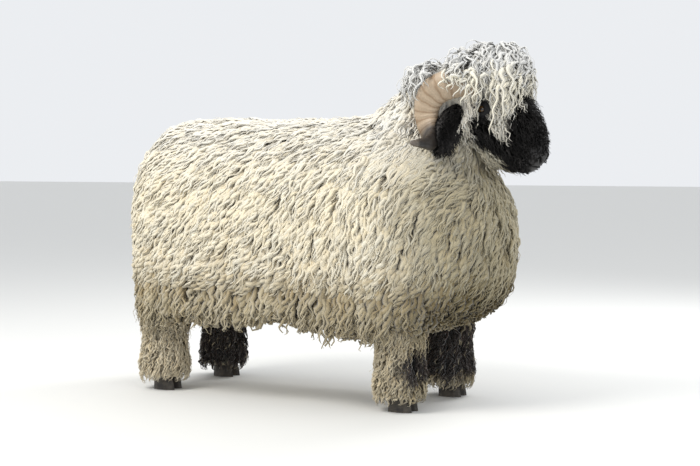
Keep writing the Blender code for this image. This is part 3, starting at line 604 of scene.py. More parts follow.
def pressed(points, deeper=0.0, left=0.0):
    """Presses wool in beside the horns and ears, so that they lie in a hollow of the coat.

    What stands out past the limit keeps a share of its unevenness, which is left.
    """
    shape = points.shape
    points = points.reshape(-1, 3).copy()
    places, reach, limit = OPENINGS
    x, _, z = points.T
    near = (x > HOLLOW_BACK) & (x < HOLLOW_FRONT) & (z > HOLLOW_LOW)
    chosen = points[near]
    far = np.hypot(chosen[:, :1] - places[:, 0], chosen[:, 2:] - places[:, 2])
    allowed = (limit + HOLLOW_SLOPE * np.maximum(0.0, far - reach)).min(1) - deeper
    allowed = np.maximum(allowed, HOLLOW_FLOOR)
    out = np.abs(chosen[:, 1])
    out = np.where(out > allowed, allowed + left * (out - allowed), out)
    chosen[:, 1] = np.sign(chosen[:, 1]) * out
    points[near] = chosen
    return points.reshape(shape)


# %% [markdown]
# The trunk, neck, legs and tail are one more even mesh, drawn in by the depth of the wool.
# The fine head is then joined to it, so that one unbroken skin runs over the whole ram.

# %% One skin
BODY_VOXEL, BODY_SMOOTHING = 0.0105, 5
SKIN_PRESSED = 0.016  # how much deeper than the wool the skin lies in the hollows


def body_skin():
    parts = [pad(*place) for place in WOOL_PADS]
    for name, form in FORMS.items():
        parts.append(form.grid(60, 56, inset=SKIN_DEPTH[name.split("_")[0]]))
    body = remeshed(joined("skin", parts), BODY_VOXEL, BODY_SMOOTHING)
    placed = pressed(points_of(body.data) + SHIFT, deeper=SKIN_PRESSED) - SHIFT
    body.data.vertices.foreach_set("co", placed.astype(np.float32).ravel())
    body.data.update()
    return body


skin = combine(body_skin(), "UNION", [head])
skin.data.shade_smooth()
skin_tree = BVHTree.FromObject(skin, bpy.context.evaluated_depsgraph_get())
print("skin has", len(skin.data.polygons), "faces")

# %% [markdown]
# The breed's black marks are soft-edged patches: the nose up to the middle of the face,
# round the eyes, the ears, the knees, the hocks and the feet. They are written as a
# function of place, so that the skin and every lock on it carry the same marks.


# %% Black marks
def soft(value, low, high):
    """0 below low, 1 above high and a smooth step between."""
    t = np.clip((value - low) / (high - low), 0.0, 1.0)
    return t * t * (3 - 2 * t)


def wobble(points, scale, seed=0.0):
    """A cheap, smooth, repeatable unevenness from -1 to 1."""
    x, y, z = (points * scale).T
    return (
        np.sin(x * 1.7 + y * 2.3 + 1.3 + seed) * np.cos(z * 2.1 - x * 0.8 + seed * 2)
        + 0.6 * np.sin(y * 3.9 - z * 3.1 + seed) * np.cos(x * 4.3 + 0.7)
    ) / 1.6


# %% Where the marks are
LEG_MARKS = (
    # foot x and y signs, place of the mark from the leg's middle and its height, radius
    (1, -1, (0.060, -0.012, 0.150), 0.050),
    (1, 1, (0.000, 0.000, 0.170), 0.105),
    (-1, 1, (0.000, 0.000, 0.160), 0.120),
    (-1, -1, (-0.050, 0.040, 0.185), 0.056),
)
EYE_PATCH = ((0.620, 0.066, 0.852), (0.618, 0.070, 0.795), (0.690, 0.062, 0.765))  # its bends
EYE_PATCH_WIDE = 0.030
FACE_REACH = 0.125  # nothing farther than this from the axis of the head is part of the face
FACE_BORDER = 0.124  # along the head: where the black of the nose begins on the bridge
BORDER_LEAN, BORDER_TOP, BORDER_DROP = 0.9, 0.080, 0.085  # it begins farther on lower down
FOOT_TOP = (0.030, 0.046)  # the feet are black below, and the wool's own colour above


def from_line(points, first, last):
    """Distance of each point from the line between two places."""
    first, last = np.array(first), np.array(last)
    way = last - first
    share = np.clip(((points - first) @ way) / (way @ way), 0.0, 1.0)
    return np.linalg.norm(points - first - share[:, None] * way, axis=1)


# %% Black marks of the face and legs
def inside(far, reach, edge):
    """1 well inside this reach and 0 well outside, with a soft edge."""
    return 1.0 - soft(far, reach - edge, reach + edge)


def black_share(points):
    """How black the wool is at each place: 0 is cream and 1 is black."""
    uneven = wobble(points, 38.0) * 0.008
    local = points - POLL
    along = local @ HEAD_AXIS + uneven
    border = FACE_BORDER + BORDER_LEAN * np.clip(BORDER_TOP - local @ HEAD_UP, 0.0, BORDER_DROP)
    near = from_line(points, POLL, POLL + HEAD_AXIS * 0.30) < FACE_REACH
    black = soft(along - border, -0.007, 0.007) * near
    for _, side in HANDS:
        bends = [np.array(bend) * to_side(side) for bend in EYE_PATCH]
        patch = np.minimum(from_line(points, *bends[:2]), from_line(points, *bends[1:])) + uneven
        black = np.maximum(black, inside(patch, EYE_PATCH_WIDE, 0.006))
    for x_sign, y_sign, place, radius in LEG_MARKS:
        centre = np.array([x_sign * STANCE_X, y_sign * STANCE_Y, 0.0]) + place
        far = np.linalg.norm(points + uneven[:, None] - centre, axis=1)
        black = np.maximum(black, inside(far, radius, 0.012))
    return np.maximum(black, 1.0 - soft(points[:, 2] + uneven, *FOOT_TOP))


# %% Cream of the wool
# Tips are whiter on the back, which is painted light from above, and tan and dirty low down, where
# they are also darker with painted shade.
CREAM_TIP = np.array([0.79, 0.73, 0.585])
CREAM_TOP = np.array([0.79, 0.762, 0.69])
CREAM_LOW = np.array([0.58, 0.50, 0.35])
CHEST_SHADE = np.array([0.50, 0.52, 0.59])  # painted shade on the chest, which faces away from the light, and some dirt: what its wool lacks of the cream
SKIRT_SHADE = np.array([0.42, 0.45, 0.53])  # and painted shade round the lower edge of the fleece, where it curves under: what that wool lacks
BLACK_TIP = np.array([0.008, 0.0073, 0.0070])
# black wool is darker at the root too: painted shade deep in the coat
BLACK_ROOT = np.array([0.003, 0.0028, 0.0028])
# where each change of colour starts and ends, in height or, for the chest, also along the ram
BACK_RISES, BELLY_ENDS = (0.62, 0.86), (0.20, 0.52)
SKIRT_RISES, SKIRT_ENDS = (0.24, 0.30), (0.33, 0.45)
CHEST_STARTS, CHEST_ENDS = (0.34, 0.60), (0.70, 0.90)


def cream_of(points):
    """The colour of the tips: whiter on the back, which is painted light, tan and dirty low down
    with painted shade, and painted shade on the chest and the fleece's lower edge.
    """
    x, _, z = points.T
    high = soft(z, *BACK_RISES)[:, None]
    low = (1.0 - soft(z + wobble(points, 9.0) * 0.05, *BELLY_ENDS))[:, None]
    # whiter on the back: painted light from above
    colour = CREAM_TIP + (CREAM_TOP - CREAM_TIP) * high
    # tan and dirty low down, and darker there with painted shade
    colour = colour + (CREAM_LOW - colour) * low * 0.85
    # painted shade round the lower edge of the fleece
    skirt = (soft(z, *SKIRT_RISES) * (1.0 - soft(z, *SKIRT_ENDS)))[:, None]
    # painted shade on the chest, with some dirt
    chest_shaded = (soft(x, *CHEST_STARTS) * (1.0 - soft(z, *CHEST_ENDS)))[:, None]
    colour = colour * (1.0 - chest_shaded * CHEST_SHADE * (1.0 + 0.4 * low))
    return colour * (1.0 - skirt * SKIRT_SHADE)


print("cream on the back is", cream_of(np.array([[0.0, 0.0, 0.9]]))[0].round(2).tolist())


# %% [markdown]
# ## How the wool is laid
# A lock is one strand of crimped wool, 4 to 17 mm across. Hair curves or particles would
# be lighter, but only mesh can be exported as it is. Each lock leaves the skin, rises to
# the outer surface and lies along the coat's flow. Neighbours share a guide and draw
# together at their tips, which gives the fleece its tufts and dark gaps.


# %% Roots spread over a form
def spread(points, cell):
    """Indices of points thinned to one in each cell of a grid, so that they lie evenly."""
    keys = np.floor(points / cell).astype(np.int64)
    _, first = np.unique(keys, axis=0, return_index=True)
    return np.sort(first)


ROOT_REACH = 0.021  # a form's place farther than this from the skin lies inside another form
ROOT_SHARES = (0.02, 0.98)  # no roots at the very ends of a form
TRIED_AREA, MOST_TRIED = 9.0, 260000  # this many cells' area is tried, up to this many roots


def roots_on(form, inset, cell, draw):
    """Even roots on a form where it lies on the skin, with their place on its unwrap."""
    count = int(min(TRIED_AREA / cell**2, MOST_TRIED))
    share = draw.uniform(*ROOT_SHARES, count)
    turn = draw.uniform(0, 2 * math.pi, count)
    points = form.outline(share, turn) - form.normals(share, turn) * inset
    kept = spread(points, cell)
    points, share, turn = points[kept], share[kept], turn[kept]
    shift = Vector(SHIFT)
    hits = [skin_tree.find_nearest(Vector(p) - shift) for p in points]
    kept = np.array([far for _, _, _, far in hits]) < ROOT_REACH
    points = np.array([place + shift for place, _, _, _ in hits])
    unwrap = np.stack([turn / (2 * math.pi), share], 1)
    return points[kept], form.normals(share, turn)[kept], unwrap[kept]


# %% The flow of the coat
SPINE_TURN = 11.0  # how quickly the wool turns to its own side of the spine
RUMP_LEAN, CHEST_LEAN = 0.66, 0.14  # how far it leans back, against hanging straight down
LEAN_CHANGES = (-0.25, 0.42)  # between these places along the ram
UNDER, UNDER_WAY = -0.75, np.array([-0.9, 0.3, -0.3])  # under the belly it runs back


def flow(points, normals):
    """The way the wool lies: off the spine to its own side, down the flanks and back."""
    away = np.tanh(points[:, 1] * SPINE_TURN + wobble(points, 14.0, 2.0) * 0.6)
    top = np.clip(normals[:, 2], 0.0, 1.0)
    behind = 1.0 - soft(points[:, 0], *LEAN_CHANGES)
    back = -(CHEST_LEAN + (RUMP_LEAN - CHEST_LEAN) * behind) - 0.3 * top
    back = back + wobble(points, 5.0, 1.0) * 0.26 + wobble(points, 15.0) * 0.20
    wanted = np.stack([back, away * (0.12 + 0.85 * top), -(1.0 - 0.55 * top)], 1)
    under = normals[:, 2] < UNDER
    aside = np.stack([np.ones(under.sum()), away[under], np.ones(under.sum())], 1)
    wanted[under] = UNDER_WAY * aside
    return wanted


def tangent_to(vectors, normals):
    return unit(vectors - normals * (vectors * normals).sum(1, keepdims=True))


# %% Guide locks
SKIRT_EDGE = (
    # along the ram, and the height where the skirts of the fleece end
    (-0.56, 0.230), (-0.42, 0.212), (-0.25, 0.245), (0.05, 0.258),
    (0.24, 0.225), (0.40, 0.212), (0.50, 0.270), (0.60, 0.370),
)
SKIRT_FLOOR = 0.22  # what grows below this height belongs to the legs
SKIRT_FREE = -0.15  # where the coat faces this far down, its locks hang free
HANG = (0.25, 0.97)  # shares of its own way and of straight down that a hanging lock takes
GUIDE_STRAY, GUIDE_TURN = 0.16, 0.30  # unevenness at the root, and the flow's pull at each ring


def ring_shares(rings):
    """Where the rings of a lock lie. They crowd in its outer part: the rest is buried."""
    return np.concatenate([[0.0], np.linspace(0.24, 1.0, rings)])


def march(roots, normals, lengths, style, draw):
    """Middle lines of guide locks and their outward directions, ring by ring."""
    count = len(roots)
    flow_of, lift = style["flow"], style["lift"]
    shares = ring_shares(style["rings"])
    spot, facing = roots.copy(), normals.copy()
    depth = np.zeros(count)
    for i, p in enumerate(roots):
        place, normal, _, far = outer_tree.find_nearest(Vector(p - SHIFT))
        spot[i], facing[i], depth[i] = np.array(place) + SHIFT, normal, far
    way = flow_of(spot, facing) + draw.normal(0, GUIDE_STRAY, (count, 3))
    way = tangent_to(way, facing)
    tips = lift + style["uneven"] * draw.uniform(-1.0, 1.0, count)
    skirt = (roots[:, 2] < style["skirt"]) & (roots[:, 2] > SKIRT_FLOOR)
    lowest = np.interp(roots[:, 0], *zip(*SKIRT_EDGE)) + draw.uniform(-0.026, 0.020, count)
    lowest = lowest + wobble(roots, 22.0, 3.0) * 0.014
    lines, outs = [], []
    for k, share in enumerate(shares):
        rise = 1.0 - (1.0 - min(1.0, share / style["rise_by"])) ** 2
        below = -depth * (1.0 - rise) + tips * rise
        lines.append(spot + facing * below[:, None])
        outs.append(facing.copy())
        if k == len(shares) - 1:
            break
        step = lengths * (shares[k + 1] - share)
        ahead = spot + way * step[:, None]
        free = skirt & (facing[:, 2] < SKIRT_FREE)
        for i, p in enumerate(ahead):
            if free[i]:
                hang = way[i] * HANG[0] - UP * HANG[1]
                spot[i] = spot[i] + hang * step[i] * (spot[i, 2] > lowest[i])
                continue
            place, normal, _, _ = outer_tree.find_nearest(Vector(p - SHIFT))
            spot[i], facing[i] = np.array(place) + SHIFT, normal
        way = tangent_to(way + GUIDE_TURN * flow_of(spot, facing), facing)
    return np.stack(lines, 1), np.stack(outs, 1)


# %% Locks from guides
WANDER = 0.005  # how far a lock strays to the side of its guide


def follow(roots, guide_roots, lines, outs, clumping, draw):
    """Middle lines of locks that follow their nearest guide and close up to it at the tips."""
    tree = KDTree(len(guide_roots))
    for i, p in enumerate(guide_roots):
        tree.insert(p, i)
    tree.balance()
    nearest = np.array([tree.find(p)[1] for p in roots])
    share = ring_shares(lines.shape[1] - 1)[None, :, None]
    apart = (roots - lines[nearest, 0])[:, None, :]
    length = draw.uniform(0.80, 1.14, len(roots))[:, None, None]
    moved = (lines[nearest] - lines[nearest, :1]) * length
    pull = clumping * share**1.5 * draw.uniform(0.6, 1.3, (len(roots), 1, 1))
    # a slow sideways wander, so that neighbours cross here and there
    across = unit(np.cross(unit(np.gradient(lines[nearest], axis=1)), outs[nearest]))
    wander = draw.normal(0, WANDER, (len(roots), 1, 1))
    wander = wander * np.sin(share * 2.6 + draw.uniform(0, 6, (len(roots), 1, 1)))
    return roots[:, None, :] + moved - apart * pull + across * wander, outs[nearest], nearest


# %% Crimp and stray tips
CRIMP_FROM, CRIMP_FULL = 0.05, 0.30  # shares of a lock between which its crimp sets in


def crimped(lines, outs, size, wave, draw):
    """Adds the crimp: each line winds round its own middle, more strongly towards the tip."""
    tangents = unit(np.gradient(lines, axis=1))
    across = unit(np.cross(tangents, outs))
    run = np.concatenate([np.zeros((len(lines), 1)),
                          np.cumsum(np.linalg.norm(np.diff(lines, axis=1), axis=2), 1)], 1)
    phase = draw.uniform(0, 2 * math.pi, (len(lines), 1))
    waves = wave * draw.uniform(0.85, 1.3, (len(lines), 1))
    turn = 2 * math.pi * run / waves + phase
    grown = soft(run / run[:, -1:], CRIMP_FROM, CRIMP_FULL) * size
    grown = grown * draw.uniform(0.5, 1.35, (len(lines), 1))
    side_way = across * (np.sin(turn) * grown)[..., None]
    out_way = outs * ((np.cos(turn) + 0.3) * grown * 0.8)[..., None]
    return lines + side_way + out_way, run


def strays(lines, outs, share_of, reach, draw):
    """Lifts the tips of a few locks off the coat, so that its outline is soft."""
    chosen = draw.random(len(lines)) < share_of
    lift = np.where(chosen, draw.uniform(0.25, 1.0, len(lines)) * reach, 0.0)
    share = ring_shares(lines.shape[1] - 1)[None, :, None]
    return lines + outs * share**2 * lift[:, None, None], chosen


# %% Room for the eyes
EYE_OPENING, EYE_SPREAD = 0.0140, 0.11  # a cone: its radius at the eye, and how fast it grows
EYE_SIGHT = np.array([0.50, 0.86, 0.05])
SIGHT_STARTS = -0.004  # just behind the middle of the eye


def from_eyes(points):
    """Distance of each point from the middle of the nearer eye."""
    far = [np.linalg.norm(points - eye_middle(side), axis=1) for _, side in HANDS]
    return np.min(far, axis=0)


def clear_of_eyes(lines):
    """Which locks leave the eyes free to look ahead and to the side."""
    clear = np.ones(len(lines), bool)
    for _, side in HANDS:
        local = lines - eye_middle(side)
        sight = unit(EYE_SIGHT * to_side(side))
        out = local @ sight
        across = np.linalg.norm(local - out[..., None] * sight, axis=2)
        clear &= ~((across < EYE_OPENING + EYE_SPREAD * out) & (out > SIGHT_STARTS)).any(1)
    return clear


# %% Points of a set of locks
def section_angles(sides):
    """Where the corners of a lock's section lie. The first is the ridge along its outer side."""
    return np.arange(sides) * 2 * math.pi / sides + math.pi / 2


def slender(share):
    """Widest a little past the root, then tapering to the tip."""
    return (0.62 + 0.5 * np.sin(math.pi * np.minimum(1.0, share * 1.5))) * (1.0 - share**2.2 * 0.72)


def lock_points(lines, outs, width, flatness, sides):
    """Points of all locks: rings of a flat, ridged section, and a point at each tip."""
    count, rings = len(lines), lines.shape[1] - 1
    tangents = unit(np.gradient(lines, axis=1))
    across = unit(np.cross(tangents, outs))
    out = unit(np.cross(across, tangents))
    slim = slender(ring_shares(rings)[:rings])[None, :, None, None]
    ring = lines[:, :rings, None, :]
    for way, corner, reach in ((across, np.cos, width), (out, np.sin, width * flatness)):
        corners = corner(section_angles(sides))[None, None, :, None]
        ring = ring + way[:, :rings, None, :] * (corners * reach[:, None, None, None] * slim)
    return np.concatenate([ring.reshape(count, rings * sides, 3), lines[:, -1:, :]], 1)


def point_shares(rings, sides):
    """How far along its lock each point lies: ring after ring, and then the tip."""
    return np.concatenate([np.repeat(ring_shares(rings)[:rings], sides), [1.0]])


# %% Faces of a set of locks
def lock_faces(count, rings, sides):
    """Faces of all locks, as one array of quads and one of triangles."""
    base = np.arange(count)[:, None] * (rings * sides + 1)
    quads, tris = [], []
    for i in range(rings - 1):
        for k in range(sides):
            a, b = i * sides + k, i * sides + (k + 1) % sides
            quads.append([a, a + sides, b + sides, b])
    for k in range(sides):
        tris.append([(rings - 1) * sides + k, rings * sides, (rings - 1) * sides + (k + 1) % sides])
    tris.append([0, 1, 2])  # one triangle closes the root, because every lock has three sides
    quads = (base[:, :, None] + np.array(quads)[None]).reshape(-1, 4)
    tris = (base[:, :, None] + np.array(tris)[None]).reshape(-1, 3)
    return quads, tris


# %% A piece of wool
def mesh_from_arrays(name, points, quads, tris):
    mesh = bpy.data.meshes.new(name)
    placed = points - SHIFT
    mesh.vertices.add(len(placed))
    mesh.vertices.foreach_set("co", placed.astype(np.float32).ravel())
    corners = np.concatenate([quads.ravel(), tris.ravel()]).astype(np.int32)
    starts = np.concatenate([np.arange(len(quads)) * 4, len(quads) * 4 + np.arange(len(tris)) * 3])
    mesh.loops.add(len(corners))
    mesh.loops.foreach_set("vertex_index", corners)
    mesh.polygons.add(len(quads) + len(tris))
    mesh.polygons.foreach_set("loop_start", starts.astype(np.int32))
    mesh.update(calc_edges=True)
    mesh.shade_smooth()
    return mesh, corners


# %% Colours and unwrap of a piece
def write_tint(mesh, colours):
    """Gives each point a colour, as an attribute that the materials read."""
    rgba = np.concatenate([colours, np.ones((len(colours), 1))], 1)
    tint = mesh.attributes.new("tint", "FLOAT_COLOR", "POINT")
    tint.data.foreach_set("color", rgba.astype(np.float32).ravel())


def wool_piece(name, points, colours, fibre, patch_uv, rings, sides, material):
    """An object of many locks, with its colours, its fibre directions and its unwrap."""
    quads, tris = lock_faces(len(points), rings, sides)
    mesh, corners = mesh_from_arrays(name, points.reshape(-1, 3), quads, tris)
    write_tint(mesh, colours.reshape(-1, 3))
    grain = mesh.attributes.new("fibre", "FLOAT_VECTOR", "POINT")
    grain.data.foreach_set("vector", fibre.reshape(-1, 3).astype(np.float32).ravel())
    layer = mesh.uv_layers.new(name="OFBake")
    layer.data.foreach_set("uv", patch_uv.reshape(-1, 2)[corners].astype(np.float32).ravel())
    mesh.materials.append(material)
    return link_outward(name, mesh)


# %% [markdown]
# Wool is matt, with a soft sheen where light grazes it. The fine stripes along a lock are
# its fibres. A picture could show them, but a noise that is stretched along each lock, by
# way of the lock's own fibre attribute, stays sharp at any distance.


# %% Helpers for materials
def node(tree, kind, **inputs):
    made = tree.nodes.new(kind)
    for key, value in inputs.items():
        made.inputs[key.replace("_", " ")].default_value = value
    return made


def new_material(name, roughness, **sockets):
    material = bpy.data.materials.new(name)
    material.use_nodes = True
    shader = material.node_tree.nodes["Principled BSDF"]
    shader.inputs["Roughness"].default_value = roughness
    for key, value in sockets.items():
        shader.inputs[key.replace("_", " ")].default_value = value
    return material, material.node_tree, shader


def attribute(tree, name):
    made = tree.nodes.new("ShaderNodeAttribute")
    made.attribute_name = name
    return made


# %% Calculations and bumps
def math_node(tree, operation, *values):
    """A calculation whose inputs are numbers or the outputs of other nodes."""
    made = tree.nodes.new("ShaderNodeMath")
    made.operation = operation
    for slot, value in enumerate(values):
        if isinstance(value, (int, float)):
            made.inputs[slot].default_value = value
        else:
            tree.links.new(value, made.inputs[slot])
    return made.outputs[0]


def on_object(tree, *textures):
    """Lays the textures on the object's own coordinates."""
    place = tree.nodes.new("ShaderNodeTexCoord").outputs["Object"]
    for texture in textures:
        tree.links.new(place, texture.inputs["Vector"])


def add_bump(tree, shader, height, strength, distance):
    bump = node(tree, "ShaderNodeBump", Strength=strength, Distance=distance)
    tree.links.new(height, bump.inputs["Height"])
    tree.links.new(bump.outputs["Normal"], shader.inputs["Normal"])


# %% Colours of a material
def multiply_colour(tree, first, second):
    mix = tree.nodes.new("ShaderNodeMix")
    mix.data_type, mix.blend_type = "RGBA", "MULTIPLY"
    mix.inputs["Factor"].default_value = 1.0
    tree.links.new(first, mix.inputs[6])
    tree.links.new(second, mix.inputs[7])
    return mix.outputs[2]


def ramp(tree, value, *stops):
    made = tree.nodes.new("ShaderNodeValToRGB")
    elements = made.color_ramp.elements
    while len(elements) < len(stops):
        elements.new(0.5)
    for element, (place, colour) in zip(elements, stops):
        element.position = place
        element.color = (*colour, 1.0)
    tree.links.new(value, made.inputs["Fac"])
    return made.outputs["Color"]


# %% Wool finish
CRIMPS = 26.0  # turns of the small wave, in radians for each unit along the lock
CRIMP_SWING = 0.55  # how far the wave moves a stripe to the side
STRIPES = (0.36, 0.62)  # between these values of the noise a stripe turns from dark to light


def crimped_fibres(tree, grain):
    """The fibre coordinates with a small wave along the lock, which crimps the stripes."""
    split = tree.nodes.new("ShaderNodeSeparateXYZ")
    tree.links.new(grain, split.inputs[0])
    wave = math_node(tree, "SINE", math_node(tree, "MULTIPLY", split.outputs["Y"], CRIMPS))
    moved = math_node(tree, "MULTIPLY_ADD", wave, CRIMP_SWING, split.outputs["X"])
    made = tree.nodes.new("ShaderNodeCombineXYZ")
    for key, value in (("X", moved), ("Y", split.outputs["Y"]), ("Z", split.outputs["Z"])):
        tree.links.new(value, made.inputs[key])
    return made.outputs[0]


def wool_material(name, roughness, sheen, tone, specular):
    material, tree, shader = new_material(name, roughness, Sheen_Weight=sheen, Sheen_Roughness=0.5,
                                          Specular_IOR_Level=specular)
    tint, grain = attribute(tree, "tint"), attribute(tree, "fibre")
    stripes = node(tree, "ShaderNodeTexNoise", Scale=1.0, Detail=3.0)
    tree.links.new(crimped_fibres(tree, grain.outputs["Vector"]), stripes.inputs["Vector"])
    shade = ramp(tree, stripes.outputs["Fac"], *[(at, (to,) * 3) for at, to in zip(STRIPES, tone)])
    colour = multiply_colour(tree, tint.outputs["Color"], shade)
    tree.links.new(colour, shader.inputs["Base Color"])
    add_bump(tree, shader, stripes.outputs["Fac"], 0.55, 0.0022)
    return material


WOOL = wool_material("cream_wool", 0.95, 0.30, (0.80, 1.08), 0.15)
BLACK_WOOL = wool_material("black_wool", 0.60, 0.0, (0.55, 1.5), 0.22)
print("wool finishes:", WOOL.name, BLACK_WOOL.name)

# %% [markdown]
# ## The fleece
# The trunk and neck carry long, crimped, cream locks. The guides stand three centimetres
# apart, several locks follow each, and the fleece is made in pieces from the rump to the
# chest so that no piece grows too heavy.

# %% Colours along a lock
ROOT_HIGH = np.array([0.93, 0.89, 0.80])  # the root's share of the tip's colour on the back: painted shade deep in the coat
ROOT_LOW = np.array([0.62, 0.55, 0.44])  # and on the belly and legs: deeper painted shade, and tanner
LEG_BROWN = np.array([1.5, 0.9, 0.6])  # what the black of the legs has more than the face's
LEG_TOP = (0.26, 0.34)  # the brown ends between these heights
RAGGED = (0.28, 0.62)  # the wool is most uneven, and the painted shade at its roots deepest, below these heights
FLECKED, FLECK = 0.12, 3.0  # this share of the black locks is this much lighter
BLOND, BLOND_TOP, BLOND_FROM = 0.13, 0.30, (0.55, 0.75)  # black leg locks with blond tips


def lock_colours(roots, rings, sides, groups, draw):
    """Colours of every point: darker at the root, which is painted shade deep in the coat, and the
    tip's colour at the tip.
    """
    share = point_shares(rings, sides)
    black = black_share(roots)[:, None, None]
    tip_colour = cream_of(roots)[:, None, :]
    ragged = 1.0 - soft(roots[:, 2], *RAGGED)
    tufts = (1.0 + draw.uniform(-1.0, 0.6, groups.max() + 1) * 0.04)[groups]
    bright = tufts * (1.0 + draw.uniform(-1.0, 0.7, len(roots)) * (0.03 + 0.10 * ragged))
    warm = draw.uniform(-0.02, 0.03, (len(roots), 1, 1)) * np.array([1.0, 0.0, -2.0])
    grown = soft(share, 0.02, 0.50)[None, :, None]
    # painted shade at the roots, deeper low down
    root_shade = ROOT_HIGH + (ROOT_LOW - ROOT_HIGH) * ragged[:, None]
    toned = root_shade[:, None, :] + (1.0 - root_shade[:, None, :]) * grown
    cream = tip_colour * toned * bright[:, None, None] * (1.0 + warm)
    fleck = draw.uniform(0.5, 1.6, (len(roots), 1, 1))
    fleck = np.where(draw.random(fleck.shape) < FLECKED, fleck * FLECK, fleck)
    browner = 1.0 + (1.0 - soft(roots[:, 2], *LEG_TOP))[:, None, None] * LEG_BROWN
    # painted shade at the roots of the black locks
    dark = (BLACK_ROOT + (BLACK_TIP - BLACK_ROOT) * grown) * fleck * browner
    blond = (draw.random(len(roots)) < BLOND) & (roots[:, 2] < BLOND_TOP)
    black = black * (1.0 - blond[:, None, None] * soft(share, *BLOND_FROM)[None, :, None] * 0.8)
    return np.clip(cream + (dark - cream) * black, 0.0, 1.0)


# %% Fibres and unwrap of a lock
FIBRES_ROUND, FIBRES_ALONG = 2.8, 22.0  # units of the noise round a lock, and for each metre
LANES = 400.0  # locks lie anywhere in this many units of it, so no two have the same stripes
PATCH = 0.003  # size of one lock on the unwrap


def fibre_of(run, rings, sides, draw):
    """Where each point lies in its lock's fibres: round it, along it, and a random lane."""
    turn = np.tile(np.cos(section_angles(sides)), rings)
    around = np.concatenate([turn, [0.0]]) * FIBRES_ROUND
    along = np.concatenate([np.repeat(run[:, :rings], sides, axis=1), run[:, -1:]], 1)
    lane = draw.uniform(0, LANES, (len(run), 1))
    columns = (around, along * FIBRES_ALONG, lane)
    return np.stack([np.broadcast_to(column, along.shape) for column in columns], 2)


def patches(unwrap, island, rings, sides):
    """The small patch of each lock on the unwrap, inside its form's own island."""
    u0, v0, wide, high = island
    corner = np.stack([u0 + unwrap[:, 0] * wide, v0 + unwrap[:, 1] * high], 1)
    inner = [(k / (sides - 1), i / rings) for i in range(rings) for k in range(sides)]
    inner.append((0.5, 1.0))
    return corner[:, None, :] + np.array(inner)[None] * PATCH


# %% Growing one coat
PIECE_TRIANGLES = 185000  # the most that one piece of wool may have
CURLIER = (0.25, 0.60)  # the wool is curlier below these heights
PRESSED_LEFT = 0.22  # share of its unevenness that wool keeps in the hollows


def kept_roots(form, inset, cell, keep, draw):
    roots, normals, unwrap = roots_on(form, inset, cell, draw)
    chosen = keep(roots, normals)
    return roots[chosen], normals[chosen], unwrap[chosen]


def grow_on(form, inset, island, keep, style, draw):
    """Points, colours, fibres, unwrap and roots of the locks on one form."""
    rings, sides = style["rings"], style["sides"]
    guides, normals, _ = kept_roots(form, inset, style["guide_cell"], keep, draw)
    lengths = style["length"] * draw.uniform(0.80, 1.20, len(guides)) * style["trim"](guides)
    lines, outs = march(guides, normals, lengths, style, draw)
    roots, _, unwrap = kept_roots(form, inset, style["cell"], keep, draw)
    lines, outs, groups = follow(roots, guides, lines, outs, style["clumping"], draw)
    curl = style["crimp"] * (0.75 + 0.65 * (1.0 - soft(roots[:, 2:], *CURLIER)))
    lines, run = crimped(lines, outs, curl, style["wave"], draw)
    lines, stray = strays(lines, outs, style["stray"], style["stray_reach"], draw)
    lines = pressed(lines, left=PRESSED_LEFT)
    width = style["width"] / 2 * draw.uniform(0.7, 1.3, len(roots)) * np.where(stray, 0.6, 1.0)
    points = lock_points(lines, outs, width, style["flatness"], sides)
    colours = lock_colours(roots, rings, sides, groups, draw)
    uv = patches(unwrap, island, rings, sides)
    columns = (points, colours, fibre_of(run, rings, sides, draw), uv, roots)
    clear = clear_of_eyes(lines)
    return [column[clear] for column in columns]


def grow(name, sources, style, draw):
    """Locks over one or more forms. Sources hold a form, its inset, its island and a filter."""
    rings, sides = style["rings"], style["sides"]
    packs = [grow_on(*source, style, draw) for source in sources]
    *columns, roots = (np.concatenate(column) for column in zip(*packs))
    each = (rings - 1) * sides * 2 + sides + sides - 2
    pieces = max(1, math.ceil(len(roots) * each / PIECE_TRIANGLES))
    order = np.argsort(roots[:, 0], kind="stable")
    made = []
    for number, chosen in enumerate(np.array_split(order, pieces)):
        label = name if pieces == 1 else f"{name}_{number + 1}"
        arrays = [column[chosen] for column in columns]
        made.append(wool_piece(label, *arrays, rings, sides, style["material"]))
    print(name, "has", len(roots), "locks in", pieces, "pieces,", len(roots) * each, "triangles")
    return made


# %% Where the fleece grows
def near_foot(points):
    return np.min([np.hypot(points[:, 0] - x, points[:, 1] - y) for _, _, x, y in FEET], axis=0)


NECK_END = np.array([0.540, 0.0, 0.83])  # a place on the plane between neck and face
NECK_WAY = unit(np.array([0.934, 0.0, 0.357]))
OVERLAP = 0.02  # how far the wool of the neck and of the face grow past this plane
BELLY_WIDE, BELLY_FRONT, BELLY_FACES = 0.10, 0.22, -0.85  # this part of the belly has no locks
FOOT_WIDE = 0.055  # and neither has the place where a leg joins it


def over_face(points):
    """How far in front of the plane between neck and face a place lies."""
    return (points - NECK_END) @ NECK_WAY


def fleece_roots(points, normals):
    x, y, _ = points.T
    hidden = (normals[:, 2] < BELLY_FACES) & (np.abs(y) < BELLY_WIDE) & (x < BELLY_FRONT)
    above_leg = (near_foot(points) < FOOT_WIDE) & (normals[:, 2] < -0.5)
    return ~hidden & ~above_leg & (over_face(points) < OVERLAP)


def untrimmed(points):
    return 1.0


